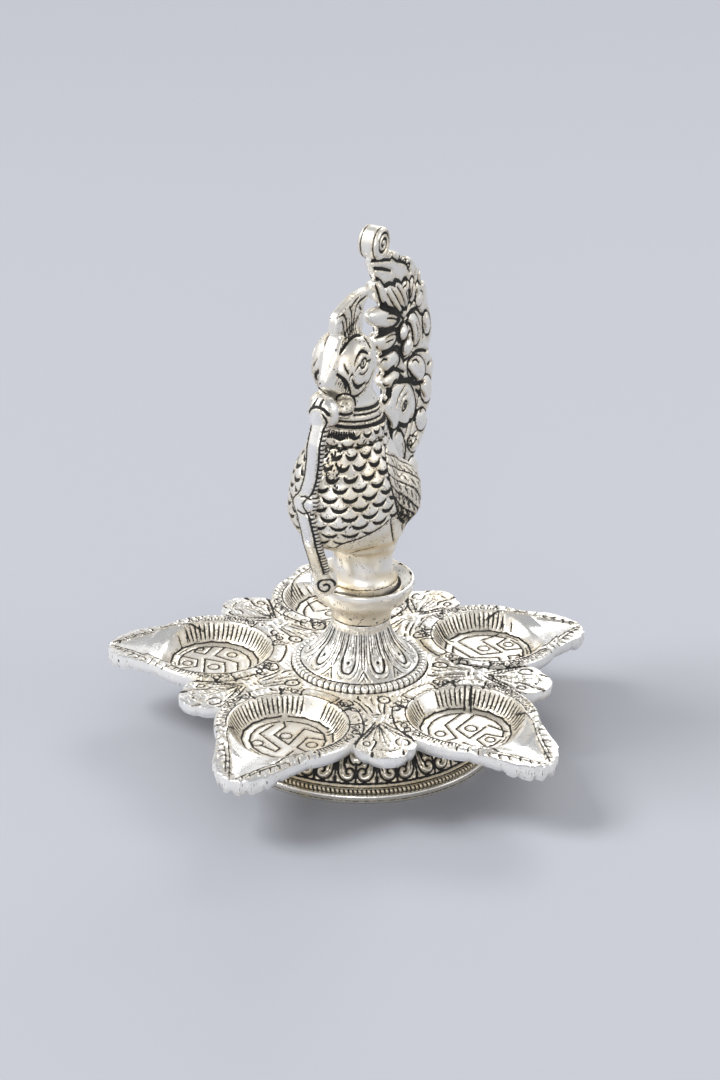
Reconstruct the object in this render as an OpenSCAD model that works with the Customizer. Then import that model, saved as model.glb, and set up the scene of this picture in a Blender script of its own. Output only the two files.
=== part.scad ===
// Aarti lamp: five oil cups on a star-shaped tray, carried by a bell foot, with a peacock on top.
// Origin at the middle of the foot's underside, +Z up, the peacock and the first cup face -Y.

/* [Foot] */
// Radius of the plain flange that the lamp stands on
foot_r = 36.7; // [33:0.1:42]
// Height of the plain flange
flange_h = 2.2; // [1.6:0.1:3]
// Height of the foot, up to the underside of the tray
foot_h = 17.7; // [16:0.1:22]
// Wall of the hollow foot
foot_wall = 2.2; // [1.6:0.1:3]
// Radius of the twisted rope ring above the flange
rope_r = 0.75; // [0.5:0.05:1]
// Gap between the shoulder of the foot and the lowest point of the cups
shoulder_gap = 0.9; // [0.5:0.1:2]

/* [Tray] */
// Distance from the axis to the middle of each cup
cup_circle_r = 38; // [36:0.1:42]
// Radius of a cup's opening
cup_r = 15; // [13:0.1:16]
// Depth of a cup below its rim
cup_depth = 5.1; // [4:0.1:6]
// Radius of a cup's floor
cup_floor_r = 11.4; // [9.5:0.1:12]
// Thickness of metal under a cup
cup_wall = 1.6; // [1.2:0.1:2.2]
// Width of the ornamented band round a cup
band_w = 3.2; // [2.4:0.1:4]
// Thickness of the cast tray
tray_t = 3.5; // [3:0.1:4.5]
// Radius that the tips of the cup leaves reach
leaf_r = 66; // [63:0.1:72]
// Thickness of a cup leaf at its tip
leaf_tip_t = 5; // [4:0.1:6]
// How far the tip of a cup leaf droops
leaf_droop = 1.5; // [0.5:0.1:3]
// Radius that the small leaves between the cups reach
small_leaf_r = 49.8; // [47:0.1:54]
// Half the width of a small leaf
small_leaf_half_w = 8; // [6.5:0.1:9]
// How far a small leaf lies below the cups' rims
small_leaf_drop = 0.4; // [0.2:0.1:2]
// Depth of the seat for the cone in the tray
cone_seat_depth = 1.2; // [0.6:0.1:1.6]

/* [Stem] */
// Height of the petal cone above its seat
cone_h = 14.5; // [12:0.1:18]
// Radius of the ribbed ring at the base of the cone
cone_ring_r = 17.4; // [15:0.1:19]
// Thickness of the ribbed ring
cone_ring_t = 2.2; // [1.6:0.1:3]
// Radius of the neck where the cone meets the saucer
neck_r = 7.6; // [6.5:0.1:9]
// Number of petals round the cone
petals = 9; // [6:1:12]
// Height of the petals' rims above the grooves beside them
petal_rise = 0.6; // [0.3:0.1:0.8]
// Radius of the saucer's rim
saucer_r = 13.4; // [12:0.1:15]
// Height of the saucer
saucer_h = 10.9; // [9:0.1:13]
// Depth of the dish inside the saucer
dish_depth = 1.8; // [1:0.1:2.6]

/* [Peacock body] */
// Radius of the lip at the foot of the plinth
plinth_r = 9.3; // [8.5:0.1:10]
// Radius of the waist of the plinth
waist_r = 7.8; // [6.8:0.1:8.6]
// Height of the plinth
plinth_h = 10.6; // [9:0.1:13]
// Height of the body above the plinth
belly_h = 34; // [30:0.1:38]
// Width of the body
body_w = 27.4; // [24:0.1:30]
// Length of the body from chest to rump
body_l = 34.8; // [31:0.1:38]
// How far the middle of the body leans forward of the axis
body_lean = 10; // [7:0.1:12]
// How far each wing stands out of the body
wing_out = 1.6; // [0.8:0.1:2.4]

/* [Peacock head] */
// Radius of the round side of the head
head_r = 8.6; // [7.5:0.1:9.5]
// Thickness of the head between its round sides
head_t = 9.4; // [8:0.1:11]
// How far each round side bulges
cheek_out = 2.9; // [1.5:0.1:4]
// Height of the middle of the head above the body
head_up = 19.1; // [17:0.1:22]
// Thickness of the crest
crest_t = 3.2; // [2.4:0.1:4.2]
// Height of the crest above the middle of the head
crest_h = 16.6; // [14:0.1:19]
// How far the beak reaches in front of the middle of the head
beak_reach = 11.4; // [9.5:0.1:13]
// Thickness of the beak
beak_t = 4.6; // [3.6:0.1:5.6]

/* [Tail] */
// Height of the tail from its lowest lobe to the top of the finial
tail_h = 87.4; // [80:0.1:95]
// Depth of the tail from front to back
tail_l = 25; // [21:0.1:29]
// Thickness of the tail along its edges
tail_edge_t = 3.2; // [2.4:0.1:4]
// Thickness of the tail over its lobes
tail_lobe_t = 6.4; // [5:0.1:8]
// Radius of the curled finial
finial_r = 4.2; // [3.4:0.1:5]
// Thickness of the curled finial
finial_t = 5.9; // [4.6:0.1:7]

/* [Snake] */
// Width of the snake
snake_w = 4.2; // [3.4:0.1:5]
// Thickness of the snake
snake_t = 3; // [2.4:0.1:4]
// Radius of the snake's head, which the beak holds
snake_head_r = 3.5; // [2.8:0.1:4]
// Radius of the ball at the end of the snake's tail
snake_ball_r = 3.3; // [2.6:0.1:4]
// How far the snake sways to the side
snake_sway = 3; // [1.5:0.1:4]

/* [Fixing] */
// Radius of the central stud
stud_r = 3; // [2.5:0.1:3.4]
// Clearance round the stud in the castings
stud_clear = 0.2; // [0.1:0.05:0.4]
// Height of the nut
nut_h = 4.5; // [3.5:0.1:5.2]
// Radius of the washer
washer_r = 8; // [7:0.1:10]
// Thickness of the washer
washer_t = 1.2; // [0.8:0.1:1.6]

/* [Hidden] */

cups = 5;
step_deg = 360 / cups;
first_cup_deg = -90;
overrun = 1;
thread_gap = 0.05;
dish_clear = 0.5;
crest_gap = 4.5;
bright = [0.80, 0.78, 0.72];
warm = [0.74, 0.70, 0.60];
steel = [0.55, 0.56, 0.58];

// Levels of the stack
tray_top = foot_h + tray_t;
cone_z = tray_top - cone_seat_depth;
saucer_z = cone_z + cone_h;
saucer_top = saucer_z + saucer_h;
body_z = saucer_top - dish_depth;
belly_z = body_z + plinth_h;
body_top = belly_z + belly_h;
head_y = -body_lean * 1.32;
head_z = body_top + head_up;
tail_y = body_l / 2 - body_lean;
tail_z = belly_z - plinth_h * 0.35;
// How far the tail's front edge beside the crest lies in front of the rump, as a share of its depth
tail_front_share = 0.11;
tail_front_y = tail_y - tail_front_share * tail_l;

// Foot
roof_t = foot_wall;
collar_r = cup_circle_r - cup_r - cup_wall - overrun;
shoulder_z = tray_top - cup_depth - cup_wall - shoulder_gap;
rope_z = flange_h + rope_r;
bell_r = foot_r - 3 * rope_r;
bell_z = flange_h + 2 * rope_r;

// A quarter of an ellipse, from its widest point up to its top
function quarter(r0, z0, r1, z1, parts) =
    [for (i = [0 : parts]) [r1 + (r0 - r1) * cos(90 * i / parts), z0 + (z1 - z0) * sin(90 * i / parts)]];
function arc(r, z, radius, from_deg, to_deg, parts) =
    [for (i = [0 : parts]) let (a = from_deg + (to_deg - from_deg) * i / parts)
        [r + radius * cos(a), z + radius * sin(a)]];
function reversed(v) = [for (i = [len(v) - 1 : -1 : 0]) v[i]];

module foot() {
    color(warm)
    difference() {
        rotate_extrude($fn = 96)
            polygon(concat(
                [[0, 0], [foot_r, 0], [foot_r, flange_h], [foot_r - rope_r / 2, flange_h]],
                arc(foot_r - 1.5 * rope_r, rope_z, rope_r, -45, 135, 6),
                quarter(bell_r, bell_z, collar_r, shoulder_z, 8),
                [[collar_r, foot_h], [0, foot_h]]));
        rotate_extrude($fn = 96)
            polygon(concat(
                [[0, -overrun], [foot_r - foot_wall, -overrun]],
                quarter(bell_r - foot_wall, bell_z, collar_r - foot_wall, shoulder_z - foot_wall / 2, 8),
                [[collar_r - foot_wall, foot_h - roof_t], [0, foot_h - roof_t]]));
        cylinder(h = foot_h + overrun, r = stud_r + stud_clear, $fn = 48);
    }
}

// Outline of half a cup leaf past the cup, as shares of its reach and of its half width
leaf_shares = [[0.34, 0.80], [0.65, 0.55], [0.74, 0.47], [0.81, 0.46], [0.865, 0.40], [0.88, 0.32],
               [0.925, 0.315], [0.962, 0.235], [0.965, 0.16], [0.993, 0.13], [1, 0.06]];
// Profile of a cup leaf, as shares of its reach and of its droop or thickness
leaf_top_shares = [[0.5, 0], [0.7, 0.2], [0.88, 0.6], [1, 1]];
leaf_under_shares = [[0.45, 0], [0.62, 0.18], [0.8, 0.55], [1, 1]];
// Plan of the spout, as shares of the leaf's reach and of the cup's radius
spout_shares = [[0.2, 0.72], [0.45, 0.62], [0.68, 0.34], [0.9, 0.08]];
// Depth of the spout at its two ends, as shares of the tray's thickness
spout_depth_shares = [0.8, 0.5];

leaf_reach = leaf_r - cup_circle_r;
leaf_half_w = cup_r + band_w;
leaf_under_drop = leaf_droop + leaf_tip_t - tray_t;

module leaf_plan() {
    polygon(concat(
        [[0, 0]],
        [for (p = leaf_shares) [p[0] * leaf_reach, p[1] * leaf_half_w]],
        reversed([for (p = leaf_shares) [p[0] * leaf_reach, -p[1] * leaf_half_w]])));
}

module leaf_profile() {
    polygon(concat(
        [[-leaf_half_w - overrun, foot_h], [-leaf_half_w - overrun, tray_top]],
        [for (p = leaf_top_shares) [p[0] * leaf_reach, tray_top - p[1] * leaf_droop]],
        [[leaf_reach + overrun, tray_top - leaf_droop], [leaf_reach + overrun, foot_h - leaf_under_drop]],
        reversed([for (p = leaf_under_shares) [p[0] * leaf_reach, foot_h - p[1] * leaf_under_drop]])));
}

module cup_leaf() {
    intersection() {
        translate([0, 0, foot_h - leaf_under_drop - overrun])
            linear_extrude(tray_t + leaf_under_drop + 2 * overrun) leaf_plan();
        translate([0, leaf_half_w + overrun, 0])
            rotate([90, 0, 0])
            linear_extrude(2 * (leaf_half_w + overrun)) leaf_profile();
    }
}

// The round band of the tray about a cup
module cup_disc() {
    translate([0, 0, foot_h]) cylinder(h = tray_t, r = leaf_half_w, $fn = 72);
}

// The outside of a cup under the tray
module cup_under() {
    bottom = tray_top - cup_depth - cup_wall;
    under_h = foot_h - bottom;
    under_r = cup_floor_r + cup_wall;
    rotate_extrude($fn = 72)
        polygon([[0, bottom], [under_r * 0.6, bottom], [under_r * 0.92, bottom + under_h * 0.12],
                 [under_r, bottom + under_h * 0.3], [(under_r + cup_r + cup_wall) / 2, foot_h + tray_t / 2],
                 [0, foot_h + tray_t / 2]]);
}

module cup_hollow() {
    slope = cup_r - cup_floor_r;
    floor_z = tray_top - cup_depth;
    rotate_extrude($fn = 72)
        polygon([[0, floor_z], [cup_floor_r * 0.6, floor_z], [cup_floor_r, floor_z + cup_depth * 0.12],
                 [cup_r - slope * 0.4, floor_z + cup_depth * 0.5],
                 [cup_r - slope * 0.12, floor_z + cup_depth * 0.8], [cup_r, tray_top],
                 [cup_r, tray_top + overrun], [0, tray_top + overrun]]);
}

module spout() {
    intersection() {
        translate([0, 0, foot_h])
            linear_extrude(tray_t + overrun)
            polygon(concat(
                [for (p = spout_shares) [p[0] * leaf_reach, p[1] * cup_r]],
                reversed([for (p = spout_shares) [p[0] * leaf_reach, -p[1] * cup_r]])));
        translate([0, cup_r, 0])
            rotate([90, 0, 0])
            linear_extrude(2 * cup_r)
            polygon([[0, tray_top - spout_depth_shares[0] * tray_t],
                     [leaf_reach, tray_top - leaf_droop - spout_depth_shares[1] * tray_t / 2],
                     [leaf_reach, tray_top + overrun], [0, tray_top + overrun]]);
    }
}

// Outline of half a small leaf, as shares of the radius it reaches and of its half width
small_leaf_shares = [[0.6, 0.62], [0.7, 0.84], [0.76, 1], [0.83, 1], [0.89, 0.92], [0.925, 0.80],
                     [0.945, 0.62], [0.965, 0.54], [0.985, 0.38], [1, 0.16]];

module small_leaf() {
    translate([0, 0, foot_h - small_leaf_drop])
        linear_extrude(tray_t)
        polygon(concat(
            [for (p = small_leaf_shares) [p[0] * small_leaf_r, p[1] * small_leaf_half_w]],
            reversed([for (p = small_leaf_shares) [p[0] * small_leaf_r, -p[1] * small_leaf_half_w]])));
}

module at_cup(turn) {
    rotate([0, 0, first_cup_deg + turn * step_deg]) translate([cup_circle_r, 0, 0]) children();
}

module tray() {
    hub_r = cup_circle_r - small_leaf_half_w * 0.3;
    color(bright)
    difference() {
        union() {
            translate([0, 0, foot_h]) cylinder(h = tray_t, r = hub_r, $fn = 96);
            for (k = [0 : cups - 1]) at_cup(k) cup_under();
            for (k = [0 : cups - 1]) at_cup(k) {
                cup_leaf();
                cup_disc();
            }
            for (k = [0 : cups - 1]) rotate([0, 0, first_cup_deg + (k + 0.5) * step_deg]) small_leaf();
        }
        for (k = [0 : cups - 1]) {
            at_cup(k) cup_hollow();
            at_cup(k) spout();
        }
        translate([0, 0, cone_z]) cylinder(h = tray_t, r = cone_ring_r + stud_clear, $fn = 96);
        translate([0, 0, foot_h - overrun])
            cylinder(h = tray_t + 2 * overrun, r = stud_r + stud_clear, $fn = 48);
    }
}

// Faces of a stack of closed rings of points, from the lowest ring up, closed at both ends
function closed_faces(count, sides) = concat(
    [[for (i = [0 : sides - 1]) i]],
    [for (k = [0 : count - 2]) for (i = [0 : sides - 1]) let (j = (i + 1) % sides, a = k * sides, b = a + sides)
        each [[a + i, b + i, b + j], [a + i, b + j, a + j]]],
    [[for (i = [sides - 1 : -1 : 0]) (count - 1) * sides + i]]);

// Flare of the cone above its ring, as shares of its height and of the step from neck to ring
cone_shares = [[0.17, 0.78], [0.28, 0.58], [0.41, 0.38], [0.56, 0.19], [0.72, 0.07], [0.86, 0], [1, 0]];

// One petal across: how far its rims stand out and its grooves lie back, as shares of the rise
petal_wave_shares = [0.2, -0.8, -0.5, 0, -0.5, -0.9, -0.2, 0, -0.2, -0.9, -0.5, 0, -0.5, -0.8];
// How much of the rise is left at each level of the cone
petal_level_shares = [0, 1, 1, 1, 0.8, 0.3, 0];
petal_start = -98;

module petal_cone() {
    flare = cone_ring_r - neck_r;
    wave = len(petal_wave_shares);
    around = petals * wave;
    rings = concat(
        [[cone_ring_r - cone_ring_t / 4, 0, 0], [cone_ring_r, cone_ring_t / 4, 0],
         [cone_ring_r, cone_ring_t * 0.75, 0], [cone_ring_r - cone_ring_t / 4, cone_ring_t, 0]],
        [for (k = [0 : len(cone_shares) - 1])
            [neck_r + cone_shares[k][1] * flare, cone_shares[k][0] * cone_h,
             petal_rise * petal_level_shares[k]]]);
    points = [for (r = rings) for (i = [0 : around - 1])
        let (a = petal_start + 360 * i / around, reach = r[0] + r[2] * petal_wave_shares[i % wave])
            [reach * cos(a), reach * sin(a), cone_z + r[1]]];
    color(bright)
    difference() {
        polyhedron(points, closed_faces(len(rings), around), convexity = 6);
        translate([0, 0, cone_z - overrun])
            cylinder(h = cone_h + 2 * overrun, r = stud_r + stud_clear, $fn = 48);
    }
}

// Outline of the saucer, as shares of its height and of the step from neck to rim
saucer_shares = [[0, 0], [0.2, 0.1], [0.36, 0.32], [0.5, 0.62], [0.66, 0.85], [0.84, 0.97], [1, 1]];

module saucer() {
    flare = saucer_r - neck_r;
    rim_t = dish_depth / 2;
    dish_floor_r = plinth_r + dish_clear;
    color(warm)
    difference() {
        translate([0, 0, saucer_z])
            rotate_extrude($fn = 96)
            polygon(concat(
                [[0, 0]],
                [for (p = saucer_shares) [neck_r + p[1] * flare, p[0] * saucer_h]],
                [[saucer_r - rim_t, saucer_h], [dish_floor_r, saucer_h - dish_depth],
                 [0, saucer_h - dish_depth]]));
        translate([0, 0, saucer_z - overrun])
            cylinder(h = saucer_h + 2 * overrun, r = stud_r + stud_clear, $fn = 48);
    }
}

// Rings of a loft, each [height, shift forward, half width, half length]
module loft(rings, sides, shift_x = 0) {
    points = [for (r = rings) for (i = [0 : sides - 1]) let (a = 360 * i / sides)
        [shift_x + r[2] * cos(a), -r[1] + r[3] * sin(a), r[0]]];
    polyhedron(points, closed_faces(len(rings), sides), convexity = 6);
}

// Plinth and body: shares of the plinth's height with the step from waist to lip
plinth_shares = [[0, 1], [0.17, 1], [0.27, 0.5], [0.45, 0.1], [0.62, 0], [0.8, 0.12], [1, 0.5]];
// Body: shares of the belly's height, the lean, the half width and the half length
belly_shares = [[0.07, 0.15, 0.70, 0.63], [0.13, 0.30, 0.80, 0.78], [0.175, 0.45, 0.86, 0.87],
                [0.234, 0.60, 0.91, 0.94], [0.32, 0.80, 0.965, 0.99], [0.468, 1, 1, 1],
                [0.614, 1, 0.97, 0.965], [0.76, 0.98, 0.89, 0.91], [0.848, 0.95, 0.80, 0.80],
                [0.936, 0.96, 0.71, 0.69], [1, 0.97, 0.655, 0.63]];
body_rings = concat(
    [for (p = plinth_shares)
        let (r = waist_r + p[1] * (plinth_r - waist_r)) [body_z + p[0] * plinth_h, 0, r, r]],
    [for (p = belly_shares)
        [belly_z + p[0] * belly_h, p[1] * body_lean, p[2] * body_w / 2, p[3] * body_l / 2]]);
// Wing: shares of the belly's height, of the lean, of the wing's step and of the half length
wing_shares = [[0.16, -0.05, 0.15, 0.12], [0.26, 0, 0.6, 0.3], [0.4, 0.06, 1, 0.42], [0.56, 0.14, 1, 0.46],
               [0.68, 0.25, 0.75, 0.4], [0.78, 0.36, 0.2, 0.16]];
wing_x = body_w * 0.33;
wing_rings = [for (p = wing_shares)
    [belly_z + p[0] * belly_h, p[1] * body_lean, p[2] * (body_w / 2 - wing_x + wing_out), p[3] * body_l / 2]];

module body_shape() {
    loft(body_rings, 36);
    for (side = [-1, 1]) loft(wing_rings, 16, side * wing_x);
}

module peacock_body() {
    color(bright)
    difference() {
        body_shape();
        translate([0, 0, body_z - overrun])
            cylinder(h = plinth_h + overrun, r = stud_r + thread_gap, $fn = 48);
    }
}

// Neck: shares of the rise to the head, of the lean, of the half width and of the half length
neck_shares = [[0, 0.97, 0.655, 0.63], [0.16, 0.98, 0.655, 0.62], [0.2, 0.99, 0.6, 0.57],
               [0.42, 1.04, 0.54, 0.5], [0.62, 1.14, 0.45, 0.42], [0.95, 1.3, 0.3, 0.3]];
// Crest: outline as shares of its length behind the head's middle and of its height
crest_shares = [[-0.53, 0.55], [-0.51, 0.76], [-0.43, 0.84], [-0.28, 0.90], [0.17, 0.985], [0.57, 1],
                [0.83, 0.97], [1, 0.86], [0.8, 0.82], [0.63, 0.76], [0.57, 0.55], [0.56, 0.34]];
crest_l = tail_front_y - crest_gap - head_y;
// Beak: outline as shares of its reach in front of the head's middle and of the head's radius
beak_shares = [[0.42, 1.05], [0.66, 0.66], [0.86, 0.2], [1, -0.12], [0.97, -0.36], [0.8, -0.5],
               [0.5, -0.7], [0.1, -0.8]];

module side_plate(thickness) {
    rotate([90, 0, 90]) translate([0, 0, -thickness / 2]) linear_extrude(thickness) children();
}

module head_shape() {
    loft([for (p = neck_shares)
        [body_top + p[0] * head_up, p[1] * body_lean, p[2] * body_w / 2, p[3] * body_l / 2]], 36);
    translate([0, head_y, head_z])
        rotate([0, 90, 0])
        rotate_extrude($fn = 64)
        polygon([[0, -head_t / 2 - cheek_out], [head_r * 0.4, -head_t / 2 - cheek_out * 0.88],
                 [head_r * 0.75, -head_t / 2 - cheek_out * 0.5], [head_r, -head_t / 2],
                 [head_r, head_t / 2], [head_r * 0.75, head_t / 2 + cheek_out * 0.5],
                 [head_r * 0.4, head_t / 2 + cheek_out * 0.88], [0, head_t / 2 + cheek_out]]);
    side_plate(crest_t)
        polygon([for (p = crest_shares) [head_y + p[0] * crest_l, head_z + p[1] * crest_h]]);
    side_plate(beak_t)
        polygon([for (p = beak_shares) [head_y - p[0] * beak_reach, head_z + p[1] * head_r]]);
}

module peacock_head() {
    color(bright) head_shape();
}

// Tail: outline as shares of its depth behind the rump and of its height above its lowest lobe,
// from the lowest lobe up the back, over the top and down the front to the back of the neck
tail_shares = [[0.22, 0.01], [0.36, 0], [0.52, 0.005], [0.70, 0.03], [0.84, 0.09], [0.80, 0.15],
               [0.70, 0.20], [0.75, 0.224], [0.88, 0.25], [1.00, 0.30], [0.97, 0.33], [1.04, 0.355],
               [1.08, 0.38], [1.06, 0.42], [1.09, 0.46], [1.07, 0.495], [0.96, 0.525], [1.01, 0.585],
               [0.97, 0.64], [0.89, 0.685], [0.85, 0.725], [0.82, 0.75], [0.72, 0.76], [0.70, 0.79],
               [0.575, 0.825], [0.48, 0.85], [0.32, 0.865], [0.185, 0.89], [0, 0.91], [-0.27, 0.93],
               [-0.40, 0.91], [-0.34, 0.878], [-0.25, 0.841], [-0.11, 0.803], [-0.11, 0.775],
               [-0.13, 0.755], [-0.18, 0.715], [-0.15, 0.66], [-0.06, 0.60], [0, 0.54], [0.04, 0.48],
               [0.02, 0.43]];
// Leaves and buds that stand out on both faces: each one's two ends, as shares of the tail's depth
// behind the rump and of its height, then its half width as a share of the depth and its thickness share
tail_leaf_shares = [
    [-0.40, 0.748, 0.24, 0.686, 0.105, 0.82], [-0.26, 0.658, 0.20, 0.638, 0.11, 0.86],
    [-0.14, 0.597, 0.27, 0.556, 0.11, 0.86], [-0.10, 0.518, 0.30, 0.516, 0.09, 0.82],
    [-0.31, 0.842, -0.08, 0.762, 0.07, 0.80], [-0.13, 0.812, 0.30, 0.701, 0.12, 0.84],
    [0.08, 0.812, 0.42, 0.701, 0.08, 0.78], [0.27, 0.80, 0.39, 0.755, 0.08, 0.76],
    [0.46, 0.80, 0.50, 0.705, 0.075, 0.74], [0.60, 0.775, 0.62, 0.715, 0.07, 0.70],
    [0.60, 0.735, 0.72, 0.685, 0.09, 0.74],
    [0.19, 0.653, 0.39, 0.632, 0.1, 0.94], [0.29, 0.604, 0.52, 0.578, 0.11, 0.98],
    [0.44, 0.688, 0.68, 0.565, 0.125, 0.86], [0.78, 0.67, 0.92, 0.57, 0.09, 0.7],
    [0.44, 0.535, 0.88, 0.455, 0.14, 0.90], [0.80, 0.46, 1.02, 0.36, 0.13, 0.82],
    [0.10, 0.497, 0.66, 0.345, 0.20, 0.96], [0.02, 0.47, 0.28, 0.345, 0.13, 0.82],
    [0.70, 0.36, 0.94, 0.285, 0.12, 0.80], [0.52, 0.29, 0.76, 0.235, 0.085, 0.84],
    [0.16, 0.36, 0.46, 0.225, 0.12, 0.80], [0.24, 0.27, 0.52, 0.135, 0.12, 0.80],
    [0.36, 0.19, 0.56, 0.07, 0.11, 0.80], [0.56, 0.225, 0.80, 0.13, 0.12, 0.80],
    [0.56, 0.135, 0.74, 0.055, 0.10, 0.76], [0.28, 0.12, 0.40, 0.03, 0.09, 0.74]];
finial_y = tail_y - tail_l * 0.27;
finial_z = tail_z + tail_h - finial_r;
// The tail's front edge follows the back of the body up to this share of the belly's height
rump_share = 0.94;
rump = [for (r = reversed(body_rings)) if (r[0] > belly_z && r[0] < belly_z + rump_share * belly_h)
    [r[3] - r[1], r[0]]];

// A leaf along the tail's plane, from one end to the other, round or flat in section
module leaf_between(front, back, half_w, half_t) {
    parts = 6;
    along = back - front;
    half_l = norm(along) / 2;
    translate([0, (front[0] + back[0]) / 2, (front[1] + back[1]) / 2])
        rotate([atan2(along[1], along[0]) - 90, 0, 0])
        scale([1, half_w / half_t, 1])
        rotate_extrude($fn = 20)
        polygon([for (i = [0 : parts]) let (a = 180 * i / parts - 90) [half_t * cos(a), half_l * sin(a)]]);
}

module tail() {
    color(bright) {
        side_plate(tail_edge_t)
            polygon(concat([for (p = tail_shares) [tail_y + p[0] * tail_l, tail_z + p[1] * tail_h]], rump));
        for (p = tail_leaf_shares)
            leaf_between(
                [tail_y + p[0] * tail_l, tail_z + p[1] * tail_h],
                [tail_y + p[2] * tail_l, tail_z + p[3] * tail_h],
                p[4] * tail_l, p[5] * tail_lobe_t / 2);
        translate([0, finial_y, finial_z])
            rotate([0, 90, 0])
            cylinder(h = finial_t, r = finial_r, center = true, $fn = 48);
    }
}

// Snake: shares of the drop from the beak to the ball, of the sway, and of the chest's reach
snake_shares = [[0.1, 0, 0.92], [0.2, 0, 0.985], [0.32, -0.15, 0.985], [0.40, -0.45, 1.0], [0.46, -1.1, 1.0],
                [0.53, -0.5, 1.03], [0.64, -0.25, 0.985], [0.76, -0.35, 0.86], [0.88, -0.65, 0.70]];
chest_reach = body_lean + body_l / 2;
mouth_z = head_z - head_r * 0.36;
snake_head_y = head_y - beak_reach * 0.78;
snake_head_z = mouth_z - snake_head_r * 1.35;
ball_y = -saucer_r - snake_ball_r * 0.4;
ball_z = saucer_top + snake_ball_r * 0.9;
snake_path = concat(
    [[0, snake_head_y, snake_head_z]],
    [for (p = snake_shares)
        [p[1] * snake_sway, -p[2] * chest_reach, snake_head_z + p[0] * (ball_z - snake_head_z)]],
    [[-snake_sway, ball_y, ball_z]]);

// A flat band swept along a path in nearly vertical steps
module band(path, width, thickness, sides) {
    count = len(path);
    points = [for (k = [0 : count - 1])
        let (ahead = path[min(k + 1, count - 1)], behind = path[max(k - 1, 0)], d = ahead - behind,
             u = d / norm(d), side_raw = cross(u, [0, -1, 0]), side = side_raw / norm(side_raw), out = cross(u, side))
        for (i = [0 : sides - 1]) let (a = 360 * i / sides)
            path[k] + side * width / 2 * cos(a) + out * thickness / 2 * sin(a)];
    walls = [for (k = [0 : count - 2]) for (i = [0 : sides - 1]) let (j = (i + 1) % sides, a = k * sides, b = a + sides)
        each [[a + i, b + i, b + j], [a + i, b + j, a + j]]];
    polyhedron(points, concat(
        [[for (i = [0 : sides - 1]) i]],
        walls,
        [[for (i = [sides - 1 : -1 : 0]) (count - 1) * sides + i]]), convexity = 8);
}

module snake() {
    color(bright)
    difference() {
        union() {
            band(snake_path, snake_w, snake_t, 12);
            translate(snake_path[0]) sphere(r = snake_head_r, $fn = 32);
            translate(snake_path[5]) sphere(r = snake_w * 0.6, $fn = 24);
            translate(snake_path[len(snake_path) - 1]) sphere(r = snake_ball_r, $fn = 32);
        }
        body_shape();
        head_shape();
        translate([0, 0, saucer_z]) cylinder(h = saucer_h, r = saucer_r, $fn = 96);
    }
}

stud_z = foot_h - roof_t - washer_t - nut_h - stud_r / 2;

module stud() {
    color(steel)
    translate([0, 0, stud_z]) cylinder(h = body_z + plinth_h - stud_z, r = stud_r, $fn = 48);
}

module washer() {
    color(steel)
    translate([0, 0, foot_h - roof_t - washer_t])
        difference() {
            cylinder(h = washer_t, r = washer_r, $fn = 64);
            translate([0, 0, -overrun]) cylinder(h = washer_t + 2 * overrun, r = stud_r + stud_clear, $fn = 48);
        }
}

module nut() {
    color(steel)
    translate([0, 0, foot_h - roof_t - washer_t - nut_h])
        difference() {
            cylinder(h = nut_h, r = stud_r * 1.9, $fn = 6);
            translate([0, 0, -overrun]) cylinder(h = nut_h + 2 * overrun, r = stud_r + thread_gap, $fn = 48);
        }
}

foot();
tray();
petal_cone();
saucer();
peacock_body();
peacock_head();
tail();
snake();
stud();
washer();
nut();
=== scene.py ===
"""Looks of the aarti lamp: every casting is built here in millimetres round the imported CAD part."""

import copy
import math

import bpy
import numpy as np
from mathutils import Matrix, Vector
from mathutils.geometry import delaunay_2d_cdt


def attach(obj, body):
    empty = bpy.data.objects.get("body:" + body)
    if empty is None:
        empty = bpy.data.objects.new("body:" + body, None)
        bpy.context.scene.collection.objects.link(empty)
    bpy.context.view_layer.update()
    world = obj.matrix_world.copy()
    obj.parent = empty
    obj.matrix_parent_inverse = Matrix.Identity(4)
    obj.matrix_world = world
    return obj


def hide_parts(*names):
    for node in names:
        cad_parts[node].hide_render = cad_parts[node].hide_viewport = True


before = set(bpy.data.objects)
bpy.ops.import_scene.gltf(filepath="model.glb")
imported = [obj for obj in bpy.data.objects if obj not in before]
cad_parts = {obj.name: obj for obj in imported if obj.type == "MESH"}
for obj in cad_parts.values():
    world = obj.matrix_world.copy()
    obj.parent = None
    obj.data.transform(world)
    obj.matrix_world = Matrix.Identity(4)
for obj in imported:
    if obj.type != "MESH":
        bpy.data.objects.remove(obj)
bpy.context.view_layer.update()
MM = 0.001
SIDES = (1, -1)
FAR = 5.0                       # ink value of a place that is far from any dark line
WELD = 1e-4                     # vertices this close are joined

# Sizes of the castings, as in the CAD source
FOOT_R, FLANGE_H, FOOT_H, FOOT_WALL = 36.7, 2.2, 17.7, 2.2
ROPE_R, COLLAR_R, SHOULDER_Z, BORE_R = 0.75, 20.4, 13.6, 3.2
CUP_AT, CUP_R, BAND_W, TRAY_T, TOP = 38.0, 15.0, 3.2, 3.5, 21.2
LEAF_R, LEAF_TIP_T, DROOP, SMALL_R, SMALL_W = 66.0, 5.0, 1.5, 49.8, 8.0
CONE_Z, CONE_H, RING_R, NECK_R, PETALS = 20.0, 14.5, 17.4, 7.6, 9
SAUCER_Z, SAUCER_R, SAUCER_H, DISH = 34.5, 13.4, 10.9, 1.8
BODY_Z, BELLY_Z, BODY_TOP, HEAD_Y, HEAD_Z = 43.6, 54.2, 88.2, -13.2, 107.3
TAIL_Y, TAIL_Z, TAIL_L, TAIL_H = 7.4, 50.49, 25.0, 87.4
CUPS, FIRST_CUP = 5, -90.0
CUP_FLOOR_Z, RIM_Z = 16.1, TOP - 0.12
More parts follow.
